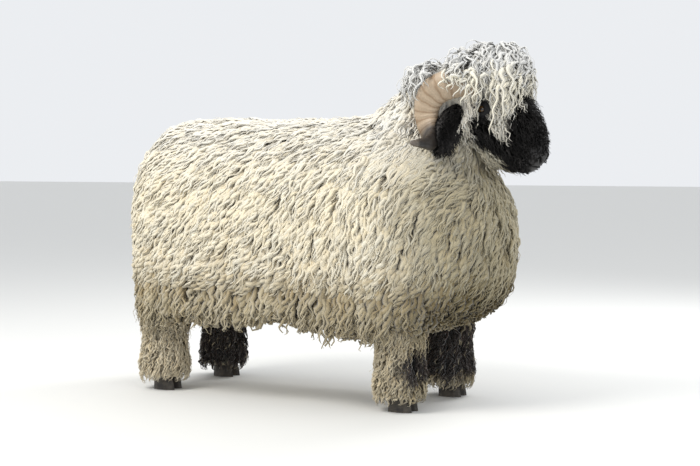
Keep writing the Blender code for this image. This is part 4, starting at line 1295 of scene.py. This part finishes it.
# %% Fleece
FLEECE = {
    "length": 0.112, "rings": 10, "sides": 3, "width": 0.0170, "flatness": 0.34, "trim": untrimmed,
    "guide_cell": 0.030, "cell": 0.0124, "clumping": 0.34, "crimp": 0.0052, "wave": 0.046,
    "lift": -0.014, "uneven": 0.005, "rise_by": 0.45, "flow": flow, "skirt": 0.36,
    "stray": 0.07, "stray_reach": 0.014, "material": WOOL,
}
fleece = grow("fleece", [
    (FORMS["torso"], SKIN_DEPTH["torso"], (0.02, 0.34, 0.95, 0.64), fleece_roots),
    (FORMS["neck"], SKIN_DEPTH["neck"], (0.02, 0.02, 0.46, 0.30), fleece_roots),
], FLEECE, np.random.default_rng(SEED))

# %% [markdown]
# ## Legs and tail
# The legs are woolly down to the hooves with shorter locks that hang straight, black
# over the knees and hocks. The tail is woolly too and lies against the rump. They are
# the same kind of locks as the fleece's, so the same function grows them.


# %% Leg and tail wool
LEG_BOTTOM, LEG_WOOL_TOP, TAIL_BOTTOM = 0.060, 0.285, 0.50
DOWN = np.array([-0.1, 0.0, -1.0])  # a little to the back
DOWN_SWAY = np.array([0.25, 0.25, 0.0])


def down_flow(points, normals):
    return DOWN + wobble(points, 40.0)[:, None] * DOWN_SWAY


def leg_roots(points, normals):
    return (points[:, 2] < LEG_WOOL_TOP) & (points[:, 2] > LEG_BOTTOM)


def tail_roots(points, normals):
    return points[:, 2] > TAIL_BOTTOM


LEG_WOOL = {
    "length": 0.052, "rings": 7, "sides": 3, "width": 0.0096, "flatness": 0.5, "trim": untrimmed,
    "guide_cell": 0.020, "cell": 0.0102, "clumping": 0.5, "crimp": 0.0026, "wave": 0.022,
    "lift": -0.002, "uneven": 0.004, "rise_by": 0.6, "flow": down_flow, "skirt": 0.0,
    "stray": 0.12, "stray_reach": 0.012, "material": WOOL,
}
leg_sources = []
for number, (end, hand, x, y) in enumerate(FEET):
    island = (0.50 + 0.12 * number, 0.02, 0.10, 0.14)
    leg_sources.append((FORMS[f"leg_{end}_{hand}"], SKIN_DEPTH["leg"], island, leg_roots))
leg_wool = grow("leg_wool", leg_sources, LEG_WOOL, np.random.default_rng(SEED + 1))

TAIL_WOOL = dict(LEG_WOOL, length=0.080, rings=10, width=0.0085, cell=0.0095, crimp=0.004,
                 wave=0.030)
tail_wool = grow("tail_wool", [
    (FORMS["tail"], SKIN_DEPTH["tail"], (0.50, 0.18, 0.20, 0.14), tail_roots),
], TAIL_WOOL, np.random.default_rng(SEED + 2))

# %% [markdown]
# ## The black face
# The face is covered with short, springy black wool that stands out in small curls. It
# is shortest on the muzzle and round the eyes, where the skin shows through. The cheeks
# carry longer cream wool, which runs on into the neck's.


# %% Where the face wool grows
LIPS_FROM, LIPS_WIDE, LIPS_DROP = 0.264, 0.036, 0.010  # the bare end of the muzzle
LIDS_WIDE = 0.0235  # and the bare lids
MUZZLE_SHORTENS, MUZZLE_TRIM = (0.19, 0.275), 0.74  # along the head, and the share that is gone
LIDS_SHORTEN, LIDS_TRIM = (0.024, 0.050), 0.65  # the same by distance from the eye
BROW_MIDDLE, BROW_HEART = np.array([0.632, 0.0, 0.945]), 0.06  # no cheek wool inside the mop
FACE_WAY = HEAD_AXIS * 0.7 - UP * 0.45
FACE_ASIDE, FACE_SWAY = 6.0 * SIDE, np.array([0.3, 0.4, 0.2])


def face_flow(points, normals):
    """On the head the wool runs down the face to the nose, and down over the cheeks."""
    return FACE_WAY + points[:, 1:2] * FACE_ASIDE + wobble(points, 55.0)[:, None] * FACE_SWAY


def face_roots(points, normals):
    along, rise = (points - POLL) @ HEAD_AXIS, (points - POLL) @ HEAD_UP
    lips = np.hypot(points[:, 1], rise + LIPS_DROP) < LIPS_WIDE
    bare = (along > LIPS_FROM) & lips
    return (over_face(points) > -OVERLAP) & ~bare & (from_eyes(points) > LIDS_WIDE)


def black_roots(points, normals):
    return face_roots(points, normals) & (black_share(points) > 0.5)


def cheek_roots(points, normals):
    outside = np.linalg.norm(points - BROW_MIDDLE, axis=1) > BROW_HEART
    return face_roots(points, normals) & (black_share(points) <= 0.5) & outside


def short_on_muzzle(points):
    """The wool grows shorter towards the lips and round the eyes."""
    along = (points - POLL) @ HEAD_AXIS
    at_eyes = (1.0 - LIDS_TRIM) + LIDS_TRIM * soft(from_eyes(points), *LIDS_SHORTEN)
    return (1.0 - MUZZLE_TRIM * soft(along, *MUZZLE_SHORTENS)) * at_eyes


# %% Face and cheek wool
FACE_FORM = Form(head_rows(FACE_WOOL_SHARE), HEAD_SQUARE)
FACE_ISLAND = (0.72, 0.18, 0.25, 0.14)  # its place on the unwrap
FACE_WOOL = {
    "length": 0.044, "rings": 7, "sides": 3, "width": 0.0046, "flatness": 0.75,
    "trim": short_on_muzzle, "guide_cell": 0.012, "cell": 0.0058, "clumping": 0.5,
    "crimp": 0.0030, "wave": 0.015, "lift": -0.001, "uneven": 0.004, "rise_by": 0.80,
    "flow": face_flow, "skirt": 0.0, "stray": 0.20, "stray_reach": 0.010, "material": BLACK_WOOL,
}
CHEEK_WOOL = dict(FACE_WOOL, length=0.062, rings=11, width=0.0085, flatness=0.5, cell=0.0080,
                  crimp=0.0048, wave=0.021, clumping=0.30, material=WOOL)
face_wool = grow("face_wool", [(FACE_FORM, 0.0, FACE_ISLAND, black_roots)], FACE_WOOL,
                 np.random.default_rng(SEED + 3))
cheek_wool = grow("cheek_wool", [(FACE_FORM, 0.0, FACE_ISLAND, cheek_roots)], CHEEK_WOOL,
                  np.random.default_rng(SEED + 6))

# %% [markdown]
# ## The forelock
# A mop of long ringlets rises from the poll and falls over the brow on every side. It is
# made of three mops, from the brow back to the nape. Each ringlet follows one rule: out
# from the middle of its mop, over the crown, then down.

# %% Shapes of the mops
MOPS = (
    # middle, reach, count of ringlets, how low they start (as a sine of the angle), and how
    # far they hang at each angle in degrees from the front
    ((0.630, 0.0, 0.945), (0.114, 0.114, 0.108), 1680, -0.05,
     ((0, 0.52), (20, 0.62), (36, 1.40), (60, 1.60), (110, 1.45), (140, 0.95), (180, 0.8))),
    ((0.580, 0.0, 0.925), (0.100, 0.176, 0.104), 870, 0.05,
     ((0, 0.60), (50, 0.85), (70, 0.50), (84, 0.14), (140, 0.5), (180, 1.0))),
    ((0.490, 0.0, 0.905), (0.135, 0.168, 0.102), 640, 0.40,
     ((0, 0.20), (60, 0.25), (110, 0.35), (140, 0.8), (180, 1.0))),
)
MOP_PATH = (
    # share of the ringlet, share of the mop's reach there, and how far it has fallen
    (0.0, 0.36, 0.0), (0.25, 0.80, 0.02), (0.5, 0.97, 0.20), (0.75, 0.99, 0.58), (1.0, 0.93, 1.0),
)
HIGHEST = 0.99  # the top ringlets start here, as a sine
HANG_LESS = ((5, 46, 85), (1.0, 0.70, 0.12))  # what starts higher, in degrees, hangs less
LEVELLED = 0.7  # how far a ringlet turns level as it falls
LONG_ONES, LONGER = 0.12, 1.12  # this share of the ringlets reaches this much farther


def mop_lines(middle, reach, count, lowest, hangs, steps, draw):
    """Middle lines of ringlets whose roots are spread over the top of a mop."""
    golden = math.pi * (3 - math.sqrt(5))
    number = np.arange(count)
    rise = np.arcsin(np.clip(lowest + (HIGHEST - lowest) * (number + 0.5) / count, -1, 1))
    share = ring_shares(steps - 1)
    turn = (number * golden + draw.uniform(-0.3, 0.3, count))[:, None]
    from_front = np.degrees(np.abs(np.angle(np.exp(1j * turn[:, 0]))))
    turn = turn + draw.normal(0, 0.30, (count, 1)) * share[None, :]
    level = np.stack([np.cos(turn), np.sin(turn), np.zeros_like(turn)], 2)
    way = level * np.cos(rise)[:, None, None] + UP * np.sin(rise)[:, None, None]
    longest = np.interp(from_front, *zip(*hangs))
    hang = np.interp(np.degrees(rise), *HANG_LESS) * longest
    hang = hang * draw.uniform(0.65, 1.15, count)
    stations, outs, falls = zip(*MOP_PATH)
    out = np.interp(share, stations, outs)
    fall = np.interp(share, stations, falls)
    level_share = (LEVELLED * fall)[None, :, None]
    mixed = way * (1 - level_share) + level * level_share
    size = draw.uniform(0.70, 1.05, count)
    size = size * np.where(draw.random(count) < LONG_ONES, LONGER, 1.0)
    lines = unit(mixed) * (out[None, :] * size[:, None])[..., None]
    lines = lines - UP * (fall[None, :] * hang[:, None] * 0.95)[..., None]
    lines = np.array(middle) + lines * np.array(reach)
    return lines, unit(lines - np.array(middle) + UP * 0.02)


# %% Forelock
FORELOCK_RINGS, FORELOCK_SIDES = 13, 3
FORELOCK_WIDTH, FORELOCK_FLATNESS = 0.0150, 0.34
FORELOCK_CURL, FORELOCK_WAVE = 0.0066, 0.044
FORELOCK_ISLAND = (0.50, 0.325, 0.47, 0.010)  # its place on the unwrap
TOPKNOT_WHITE = np.array([0.75, 0.745, 0.72])
FRINGE_CREAM = np.array([0.88, 0.83, 0.69])
WHITE_FROM = (0.92, 0.98)  # cream turns to white between these heights
NAPE_WHITER = (0.56, 0.12)  # behind this place along the ram, a ringlet counts as this much higher
HORN_CLEAR = 1.02  # ringlets keep off a horn by this share of its radius


def clear_of_horns(lines):
    """Which ringlets don't touch a horn in their outer two thirds."""
    centre, radius = horn_places(np.linspace(0.06, 1.0, 60))
    outer = lines[:, lines.shape[1] // 3:]
    clear = np.ones(len(lines), bool)
    for _, side in HANDS:
        far = np.linalg.norm((outer * to_side(side))[:, :, None, :] - centre[None, None], axis=3)
        clear &= ~(far < radius * HORN_CLEAR).any((1, 2))
    return clear


def forelock_colours(lines, draw):
    """White on the crown and cream in the fringe, with painted shade at the roots, deep in the mop.
    """
    count, rings = len(lines), FORELOCK_RINGS
    level = lines[:, rings // 2, 2] + draw.normal(0, 0.01, count)
    level = level + NAPE_WHITER[1] * (lines[:, 0, 0] < NAPE_WHITER[0])
    height = soft(level, *WHITE_FROM)[:, None, None]
    colour = FRINGE_CREAM + (TOPKNOT_WHITE - FRINGE_CREAM) * height
    colour = colour * draw.uniform(0.92, 1.05, (count, 1, 1))
    share = point_shares(rings, FORELOCK_SIDES)
    # painted shade at the roots
    return colour * (0.90 + 0.10 * soft(share, 0.05, 0.45))[None, :, None]


# %% Making the forelock
def make_forelock(draw):
    rings, sides = FORELOCK_RINGS, FORELOCK_SIDES
    sets = [mop_lines(*mop, rings + 1, draw) for mop in MOPS]
    lines, outs = (np.concatenate(column) for column in zip(*sets))
    lines, run = crimped(lines, outs, FORELOCK_CURL, FORELOCK_WAVE, draw)
    clear = clear_of_eyes(lines) & clear_of_horns(lines)
    lines, outs, run = lines[clear], outs[clear], run[clear]
    width = FORELOCK_WIDTH / 2 * draw.uniform(0.55, 1.35, len(lines))
    points = lock_points(lines, outs, width, FORELOCK_FLATNESS, sides)
    colour = forelock_colours(lines, draw)
    unwrap = np.stack([np.linspace(0, 1, len(lines)), draw.uniform(0, 1, len(lines))], 1)
    uv = patches(unwrap, FORELOCK_ISLAND, rings, sides)
    print("forelock has", len(lines), "ringlets")
    return wool_piece("forelock_locks", points, colour, fibre_of(run, rings, sides, draw), uv,
                      rings, sides, WOOL)


forelock = make_forelock(np.random.default_rng(SEED + 4))

# %% [markdown]
# ## Horns
# A ram's horn is a tapering tube, here wound three quarters of a turn, with a ring for
# every check in its growth. The smooth tube comes from the winding's formula. Geometry
# Nodes then push the rings out of it, because they repeat along it by one rule.

# %% Tube of a horn
def horn_tube(side, name, loops=230, sides=30):
    shares = np.linspace(0.0, 0.998, loops)
    centre, radius = horn_places(shares)
    along = unit(horn_places(shares + 0.005)[0] - horn_places(shares - 0.005)[0])
    across = unit(np.cross(along, HORN_AXIS))
    out = np.cross(across, along)
    angle = np.linspace(0, 2 * math.pi, sides, endpoint=False)
    close = np.clip((1.0 - shares) / 0.022, 0.0, 1.0) ** 0.5
    slim = (radius * close)[:, None, None]
    keel = 1.0 + 0.10 * np.cos(2 * angle + 0.9) + 0.05 * np.cos(3 * angle)
    ring = across[:, None, :] * (np.cos(angle) * keel)[None, :, None]
    ring = ring + out[:, None, :] * (np.sin(angle) * keel * HORN_FLATNESS)[None, :, None]
    points = (centre[:, None, :] + ring * slim).reshape(-1, 3) * to_side(side)
    horn = add_object(name, points, tube_faces(loops, sides))
    grown = horn.data.attributes.new("grown", "FLOAT", "POINT")
    grown.data.foreach_set("value", np.repeat(shares, sides).astype(np.float32))
    return horn


# %% Horn colour
CLOUDING = 0.06  # how far clouds move the change from tan to black along the horn
HORN_COLOURS = (
    # share of the length, and the colour there
    (0.10, (0.47, 0.37, 0.265)), (0.54, (0.40, 0.305, 0.21)), (0.66, (0.050, 0.042, 0.036)),
    (0.985, (0.022, 0.019, 0.018)), (1.0, (0.12, 0.10, 0.082)),
)
CREST_COLOURS = ((0.0, (0.66, 0.58, 0.50)), (0.06, (0.93, 0.91, 0.89)), (1.0, (1.04, 1.04, 1.04)))


def horn_material():
    material, tree, shader = new_material("horn", 0.48, Coat_Weight=0.12, Coat_Roughness=0.35)
    cloudy = node(tree, "ShaderNodeTexNoise", Scale=26.0, Detail=6.0)
    fine = node(tree, "ShaderNodeTexNoise", Scale=240.0, Detail=4.0)
    on_object(tree, cloudy, fine)
    grown = attribute(tree, "grown").outputs["Fac"]
    shift = math_node(tree, "MULTIPLY_ADD", cloudy.outputs["Fac"], CLOUDING, grown)
    base = ramp(tree, shift, *HORN_COLOURS)
    grain = ramp(tree, fine.outputs["Fac"], (0.32, (0.86,) * 3), (0.62, (1.04,) * 3))
    lines = ramp(tree, attribute(tree, "crest").outputs["Fac"], *CREST_COLOURS)
    ringed = multiply_colour(tree, base, lines)
    tree.links.new(multiply_colour(tree, ringed, grain), shader.inputs["Base Color"])
    add_bump(tree, shader, fine.outputs["Fac"], 0.35, 0.001)
    return material


HORN = horn_material()


# %% Growth rings with Geometry Nodes
RING_CROWDING = 0.85  # below 1, rings crowd towards the root, because growth slows with age
RING_SHARPNESS = 2.2  # how narrow a ring is beside the groove between two rings
RING_FADE, RING_SUNK = 1.6, 0.55  # how late rings fade, and the grooves' share of the depth


def ring_tree():
    """A node tree that pushes rings out of a horn and keeps their height as an attribute."""
    tree = bpy.data.node_groups.new("growth_rings", "GeometryNodeTree")
    face = tree.interface
    face.new_socket("Geometry", in_out="INPUT", socket_type="NodeSocketGeometry")
    for label in ("Rings", "Depth", "Unevenness"):
        face.new_socket(label, in_out="INPUT", socket_type="NodeSocketFloat")
    face.new_socket("Finish", in_out="INPUT", socket_type="NodeSocketMaterial")
    face.new_socket("Geometry", in_out="OUTPUT", socket_type="NodeSocketGeometry")
    inside, outside = tree.nodes.new("NodeGroupInput"), tree.nodes.new("NodeGroupOutput")
    link = tree.links.new

    def calc(operation, *values):
        return math_node(tree, operation, *values)

    grown = tree.nodes.new("GeometryNodeInputNamedAttribute")
    grown.data_type = "FLOAT"
    grown.inputs["Name"].default_value = "grown"
    share = grown.outputs["Attribute"]
    noise = node(tree, "ShaderNodeTexNoise", Scale=18.0, Detail=3.0)
    place = tree.nodes.new("GeometryNodeInputPosition")
    link(place.outputs[0], noise.inputs["Vector"])
    uneven = calc("SUBTRACT", noise.outputs["Fac"], 0.5)
    uneven = calc("MULTIPLY", uneven, inside.outputs["Unevenness"])
    packed = calc("POWER", share, RING_CROWDING)
    phase = calc("ADD", calc("MULTIPLY", packed, inside.outputs["Rings"]), uneven)
    wave = calc("PINGPONG", phase, 0.5)
    crest = calc("POWER", calc("MULTIPLY", wave, 2.0), RING_SHARPNESS)
    fade = calc("SUBTRACT", 1.0, calc("POWER", share, RING_FADE))
    height = calc("MULTIPLY", calc("MULTIPLY", crest, fade), inside.outputs["Depth"])
    wanted = calc("SUBTRACT", height, calc("MULTIPLY", inside.outputs["Depth"], RING_SUNK))
    scale = tree.nodes.new("ShaderNodeVectorMath")
    scale.operation = "SCALE"
    normal = tree.nodes.new("GeometryNodeInputNormal")
    link(normal.outputs[0], scale.inputs[0])
    link(wanted, scale.inputs["Scale"])
    move = tree.nodes.new("GeometryNodeSetPosition")
    link(inside.outputs["Geometry"], move.inputs["Geometry"])
    link(scale.outputs[0], move.inputs["Offset"])
    keep = tree.nodes.new("GeometryNodeStoreNamedAttribute")
    keep.data_type, keep.domain = "FLOAT", "POINT"
    keep.inputs["Name"].default_value = "crest"
    link(move.outputs[0], keep.inputs["Geometry"])
    link(crest, keep.inputs["Value"])
    real = tree.nodes.new("GeometryNodeRealizeInstances")
    paint = tree.nodes.new("GeometryNodeSetMaterial")
    link(keep.outputs[0], real.inputs[0])
    link(real.outputs[0], paint.inputs["Geometry"])
    link(inside.outputs["Finish"], paint.inputs["Material"])
    link(paint.outputs[0], outside.inputs[0])
    return tree


# %% Rings on both horns
def apply_tree(obj, tree, **values):
    """Runs a node tree on the object with its named inputs, and keeps the result as mesh."""
    modifier = obj.modifiers.new(tree.name, "NODES")
    modifier.node_group = tree
    for item in tree.interface.items_tree:
        if item.item_type == "SOCKET" and item.in_out == "INPUT" and item.name in values:
            modifier[item.identifier] = values[item.name]
    obj.data = evaluated_mesh(obj)
    return obj


RINGS = ring_tree()
horns = {}
for hand, side in HANDS:
    horn = horn_tube(side, f"ringed_horn_{hand}")
    apply_tree(horn, RINGS, Rings=13.0, Depth=0.0019, Unevenness=1.2, Finish=HORN)
    horn.data.shade_smooth()
    horns[hand] = horn
print("each horn has", len(horns["left"].data.polygons), "faces")

# %% [markdown]
# ## Eyes
# A sheep's eye is dark amber with a wide, level pupil, under a clear wet surface. The
# ball bulges a little at the cornea, and its colours are an attribute worked out from the
# angle to the eye's own axis.

# %% Eyes
IRIS = np.array([0.16, 0.085, 0.025])
EYE_WHITE = np.array([0.22, 0.17, 0.13])  # brown, as a sheep's is
GAZE = np.array([0.34, 0.93, 0.05])


def eye_ball(side, name):
    rings, sides = 40, 48
    gaze = unit(GAZE * to_side(side))
    level = unit(np.cross(gaze, UP))
    rise = unit(np.cross(level, gaze))
    polar = np.repeat(np.linspace(0.02, math.pi - 0.02, rings), sides)
    turn = np.tile(np.linspace(0, 2 * math.pi, sides, endpoint=False), rings)
    bulge = EYE_RADIUS * (1.0 + 0.05 * (1.0 - soft(polar, 0.25, 0.80)))
    level_part, rise_part = np.sin(polar) * np.cos(turn), np.sin(polar) * np.sin(turn)
    ball = gaze * np.cos(polar)[:, None] + level * level_part[:, None] + rise * rise_part[:, None]
    eye = add_object(name, eye_middle(side) + ball * bulge[:, None], tube_faces(rings, sides))
    iris = 1.0 - soft(polar, 0.62, 0.70)
    streak = 0.75 + 0.35 * np.sin(turn * 31) * np.sin(turn * 17 + 1)
    pupil = 1.0 - soft(np.hypot(level_part / 0.40, rise_part / 0.17), 0.85, 1.05)
    pupil = pupil * (np.cos(polar) > 0)
    colour = EYE_WHITE * (1 - iris)[:, None] + IRIS * (iris * streak)[:, None]
    rim = np.exp(-((polar - 0.66) / 0.05) ** 2)
    colour = colour * (1 - 0.8 * rim)[:, None] * (1 - pupil)[:, None] + 0.004
    write_tint(eye.data, np.clip(colour, 0, 1))
    return eye


# %% Eye finish
def eye_material():
    material, tree, shader = new_material("eye", 0.12, Coat_Weight=1.0, Coat_Roughness=0.02,
                                          IOR=1.38)
    tree.links.new(attribute(tree, "tint").outputs["Color"], shader.inputs["Base Color"])
    return material


EYE = eye_material()
eyes = {}
for hand, side in HANDS:
    eyes[hand] = eye_ball(side, f"wet_eye_{hand}")
    eyes[hand].data.materials.append(EYE)
print("eyes are", 2 * EYE_RADIUS, "m across")

# %% [markdown]
# ## Skin colour
# Little of the skin shows: the bare black muzzle, the lids, the inside of the ears and
# slivers between locks. It carries the same marks as the wool, with pores as bump.


# %% Skin paint
SKIN_BLACK = np.array([0.010, 0.009, 0.009])
SKIN_SHADE_SHARE = 0.88  # the skin's share of the cream of its wool: painted shade, so that skin between the locks reads as wool in shade
EAR_EDGE, LIDS_EDGE = (0.004, 0.010), (0.038, 0.048)  # how far their black reaches


def paint_skin():
    points = points_of(skin.data) + SHIFT
    folded = points * np.array([1.0, 0.0, 1.0]) + np.abs(points) * SIDE
    spine = smooth_rows(EAR, np.linspace(0.0, 1.0, 30))
    ear = np.min([np.linalg.norm(folded - row[:3], axis=1) - row[3] for row in spine], axis=0)
    black = np.maximum(black_share(points), 1.0 - soft(ear, *EAR_EDGE))
    black = np.maximum(black, 1.0 - soft(from_eyes(points), *LIDS_EDGE))[:, None]
    # the skin under the wool is painted darker than its wool: painted shade
    write_tint(skin.data, cream_of(points) * SKIN_SHADE_SHARE * (1 - black) + SKIN_BLACK * black)


# %% Pores and clouds of the skin
def skin_material():
    material, tree, shader = new_material("skin", 0.62, Coat_Weight=0.05, Coat_Roughness=0.4)
    pores = node(tree, "ShaderNodeTexVoronoi", Scale=420.0)
    cloudy = node(tree, "ShaderNodeTexNoise", Scale=60.0, Detail=5.0)
    on_object(tree, pores, cloudy)
    shade = ramp(tree, cloudy.outputs["Fac"], (0.3, (0.7,) * 3), (0.7, (1.35,) * 3))
    colour = multiply_colour(tree, attribute(tree, "tint").outputs["Color"], shade)
    tree.links.new(colour, shader.inputs["Base Color"])
    add_bump(tree, shader, pores.outputs["Distance"], 0.4, 0.0006)
    return material


paint_skin()
skin.data.materials.clear()
skin.data.materials.append(skin_material())
print("skin carries", [material.name for material in skin.data.materials])

# %% [markdown]
# ## Ears
# The ears are black and hang inside the curl of the horns, covered in long soft hair. It
# hangs from both sides of the ear's shell, so its roots come from the shell's own points.


# %% Ear wool
EAR_RINGS, EAR_SIDES = 7, 3
EAR_LOOPS, EAR_ACROSS = 40, 13  # points of the shell that carry the roots
EAR_CELL, EAR_LENGTH, EAR_WIDTH, EAR_FLATNESS = 0.0048, 0.040, 0.0040, 0.7
EAR_CURL, EAR_WAVE = 0.0040, 0.016
EAR_TOP, EAR_DROP = 0.866, 0.12  # height of the ear's root, and how far down its tip is
EAR_HANG = np.array([0.05, 0.30, -1.0])
EAR_FLECKED, EAR_FLECK = 0.15, 3.5


def ear_lines(side, draw):
    """Middle lines of the hair of one ear, which way is out, and how far down each grows."""
    points, _ = ear_shell(side, EAR_LOOPS, EAR_ACROSS)
    kept = spread(points + draw.uniform(-1e-4, 1e-4, points.shape), EAR_CELL)
    roots = points[kept]
    shares = np.clip((EAR_TOP - roots[:, 2]) / EAR_DROP, 0, 1)
    spine = smooth_rows(EAR, shares)[:, :3] * to_side(side)
    # the second half of each section is the ear's inner side, where the hair leans forward
    inner = (kept % (2 * EAR_ACROSS) >= EAR_ACROSS)[:, None]
    opens = unit(EAR_OPENS) * to_side(side)
    out = unit(np.where(inner, 1.0, -1.0) * opens + (roots - spine) * 12)
    length = EAR_LENGTH * draw.uniform(0.6, 1.2, len(roots))[:, None, None]
    share = ring_shares(EAR_RINGS)[None, :, None]
    way = out[:, None, :] * 0.60 * share**0.8 + unit(EAR_HANG * to_side(side)) * share**1.4
    return roots[:, None, :] + way * length, np.repeat(out[:, None, :], EAR_RINGS + 1, 1), shares


# %% Making the ear wool
def ear_side(side, draw):
    """Points, colours, fibres and unwrap of the hair of one ear."""
    lines, outs, shares = ear_lines(side, draw)
    lines, run = crimped(lines, outs, EAR_CURL, EAR_WAVE, draw)
    width = EAR_WIDTH * draw.uniform(0.7, 1.3, len(lines))
    locks = lock_points(lines, outs, width, EAR_FLATNESS, EAR_SIDES)
    fleck = draw.uniform(0.5, 1.6, (len(lines), 1, 1))
    fleck = fleck * np.where(draw.random(fleck.shape) < EAR_FLECKED, EAR_FLECK, 1.0)
    colour = np.ones(locks.shape) * BLACK_TIP * fleck
    unwrap = np.stack([draw.uniform(0, 1, len(lines)), shares], 1)
    uv = patches(unwrap, (0.50 + 0.1 * (side > 0), 0.24, 0.09, 0.07), EAR_RINGS, EAR_SIDES)
    return locks, colour, fibre_of(run, EAR_RINGS, EAR_SIDES, draw), uv


def make_ear_wool(draw):
    ears = [ear_side(side, draw) for _, side in HANDS]
    columns = [np.concatenate(column) for column in zip(*ears)]
    print("ears have", len(columns[0]), "locks")
    return wool_piece("ear_wool", *columns, EAR_RINGS, EAR_SIDES, BLACK_WOOL)


ear_wool = make_ear_wool(np.random.default_rng(SEED + 5))

# %% [markdown]
# ## Hooves
# The claws of the solids have the right shape, so they stay. Their horn is dark, with
# growth lines parallel to the ground, and dusty in patches.


# %% Hoof finish
HOOF_COLOURS = ((0.35, (0.028, 0.024, 0.021)), (0.70, (0.10, 0.085, 0.065)))  # horn and dust


def hoof_material():
    material, tree, shader = new_material("hoof", 0.55)
    lines = node(tree, "ShaderNodeTexWave", Scale=70.0, Distortion=3.0, Detail=3.0)
    lines.bands_direction = "Z"
    dust = node(tree, "ShaderNodeTexNoise", Scale=45.0, Detail=6.0)
    on_object(tree, lines, dust)
    base = ramp(tree, dust.outputs["Fac"], *HOOF_COLOURS)
    shade = ramp(tree, lines.outputs["Fac"], (0.2, (0.75,) * 3), (0.8, (1.1,) * 3))
    tree.links.new(multiply_colour(tree, base, shade), shader.inputs["Base Color"])
    add_bump(tree, shader, lines.outputs["Fac"], 0.4, 0.001)
    return material


HOOF = hoof_material()
claws = [claw for name, claw in frame["nodes"].items() if name.startswith("claw_")]
for claw in claws:
    claw.data.materials.clear()
    claw.data.materials.append(HOOF)
print(len(claws), "claws have the finish", HOOF.name)

# %% [markdown]
# ## Joining the pieces to the frame
# The ram has no joints, so every piece rides on its one body, and the solids that a piece stands
# for are hidden.

# %% Bodies, and the solids that are hidden
FLESH = ["torso", "neck", "head", "tail", "ear_left", "ear_right"]
FLESH += [f"leg_{end}_{hand}" for end, hand, _, _ in FEET]
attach(skin, "root")
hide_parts(*FLESH)
for piece in fleece + leg_wool + tail_wool + cheek_wool:
    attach(piece, "root")
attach(forelock, "root")
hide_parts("forelock")
for piece in face_wool + [ear_wool]:
    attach(piece, "root")
for hand, _ in HANDS:
    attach(horns[hand], "root")
    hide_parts(f"horn_{hand}")
    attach(eyes[hand], "root")
    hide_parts(f"eye_{hand}")

# %% [markdown]
# ## Studio
# A plain pale floor in pale, even light from all around, and broad soft lights: the key
# from above on the camera's left, a weak fill on its right, and a rim light on the ram's
# far side.


# %% Floor
FLOOR = 40.0  # how far it reaches each way


def add_floor():
    corners = [(-FLOOR, -FLOOR, 0.0), (FLOOR, -FLOOR, 0.0),
               (FLOOR, FLOOR, 0.0), (-FLOOR, FLOOR, 0.0)]
    floor = bpy.data.objects.new("floor", bpy.data.meshes.new("floor"))
    floor.data.from_pydata(corners, [], [(0, 1, 2, 3)])
    bpy.context.scene.collection.objects.link(floor)
    material, _, shader = new_material("studio_floor", 0.9)
    shader.inputs["Base Color"].default_value = (0.74, 0.74, 0.72, 1.0)
    floor.data.materials.append(material)


# %% Lights
def add_light(name, place, target, size, power, colour=(1.0, 1.0, 1.0)):
    data = bpy.data.lights.new(name, "AREA")
    data.shape, data.size, data.energy, data.color = "DISK", size, power, colour
    light = bpy.data.objects.new(name, data)
    light.location = place
    light.rotation_euler = (Vector(target) - Vector(place)).to_track_quat("-Z", "Y").to_euler()
    bpy.context.scene.collection.objects.link(light)


def add_studio():
    add_floor()
    add_light("key", (-1.3, -2.8, 3.4), (0, 0, 0.5), 2.4, 128, (1.0, 0.975, 0.93))
    add_light("fill", (3.4, -2.2, 1.8), (0, 0, 0.5), 2.6, 18, (0.95, 0.97, 1.0))
    add_light("rim", (1.0, 2.6, 2.6), (0, 0, 0.6), 1.6, 60)
    world = bpy.data.worlds.new("studio")
    world.use_nodes = True
    background = world.node_tree.nodes["Background"]
    background.inputs["Color"].default_value = (0.93, 0.95, 0.98, 1.0)
    background.inputs["Strength"].default_value = 0.90
    bpy.context.scene.world = world
    bpy.context.scene.view_settings.view_transform = "Standard"


add_studio()
print("lights:", [light.name for light in bpy.data.lights])
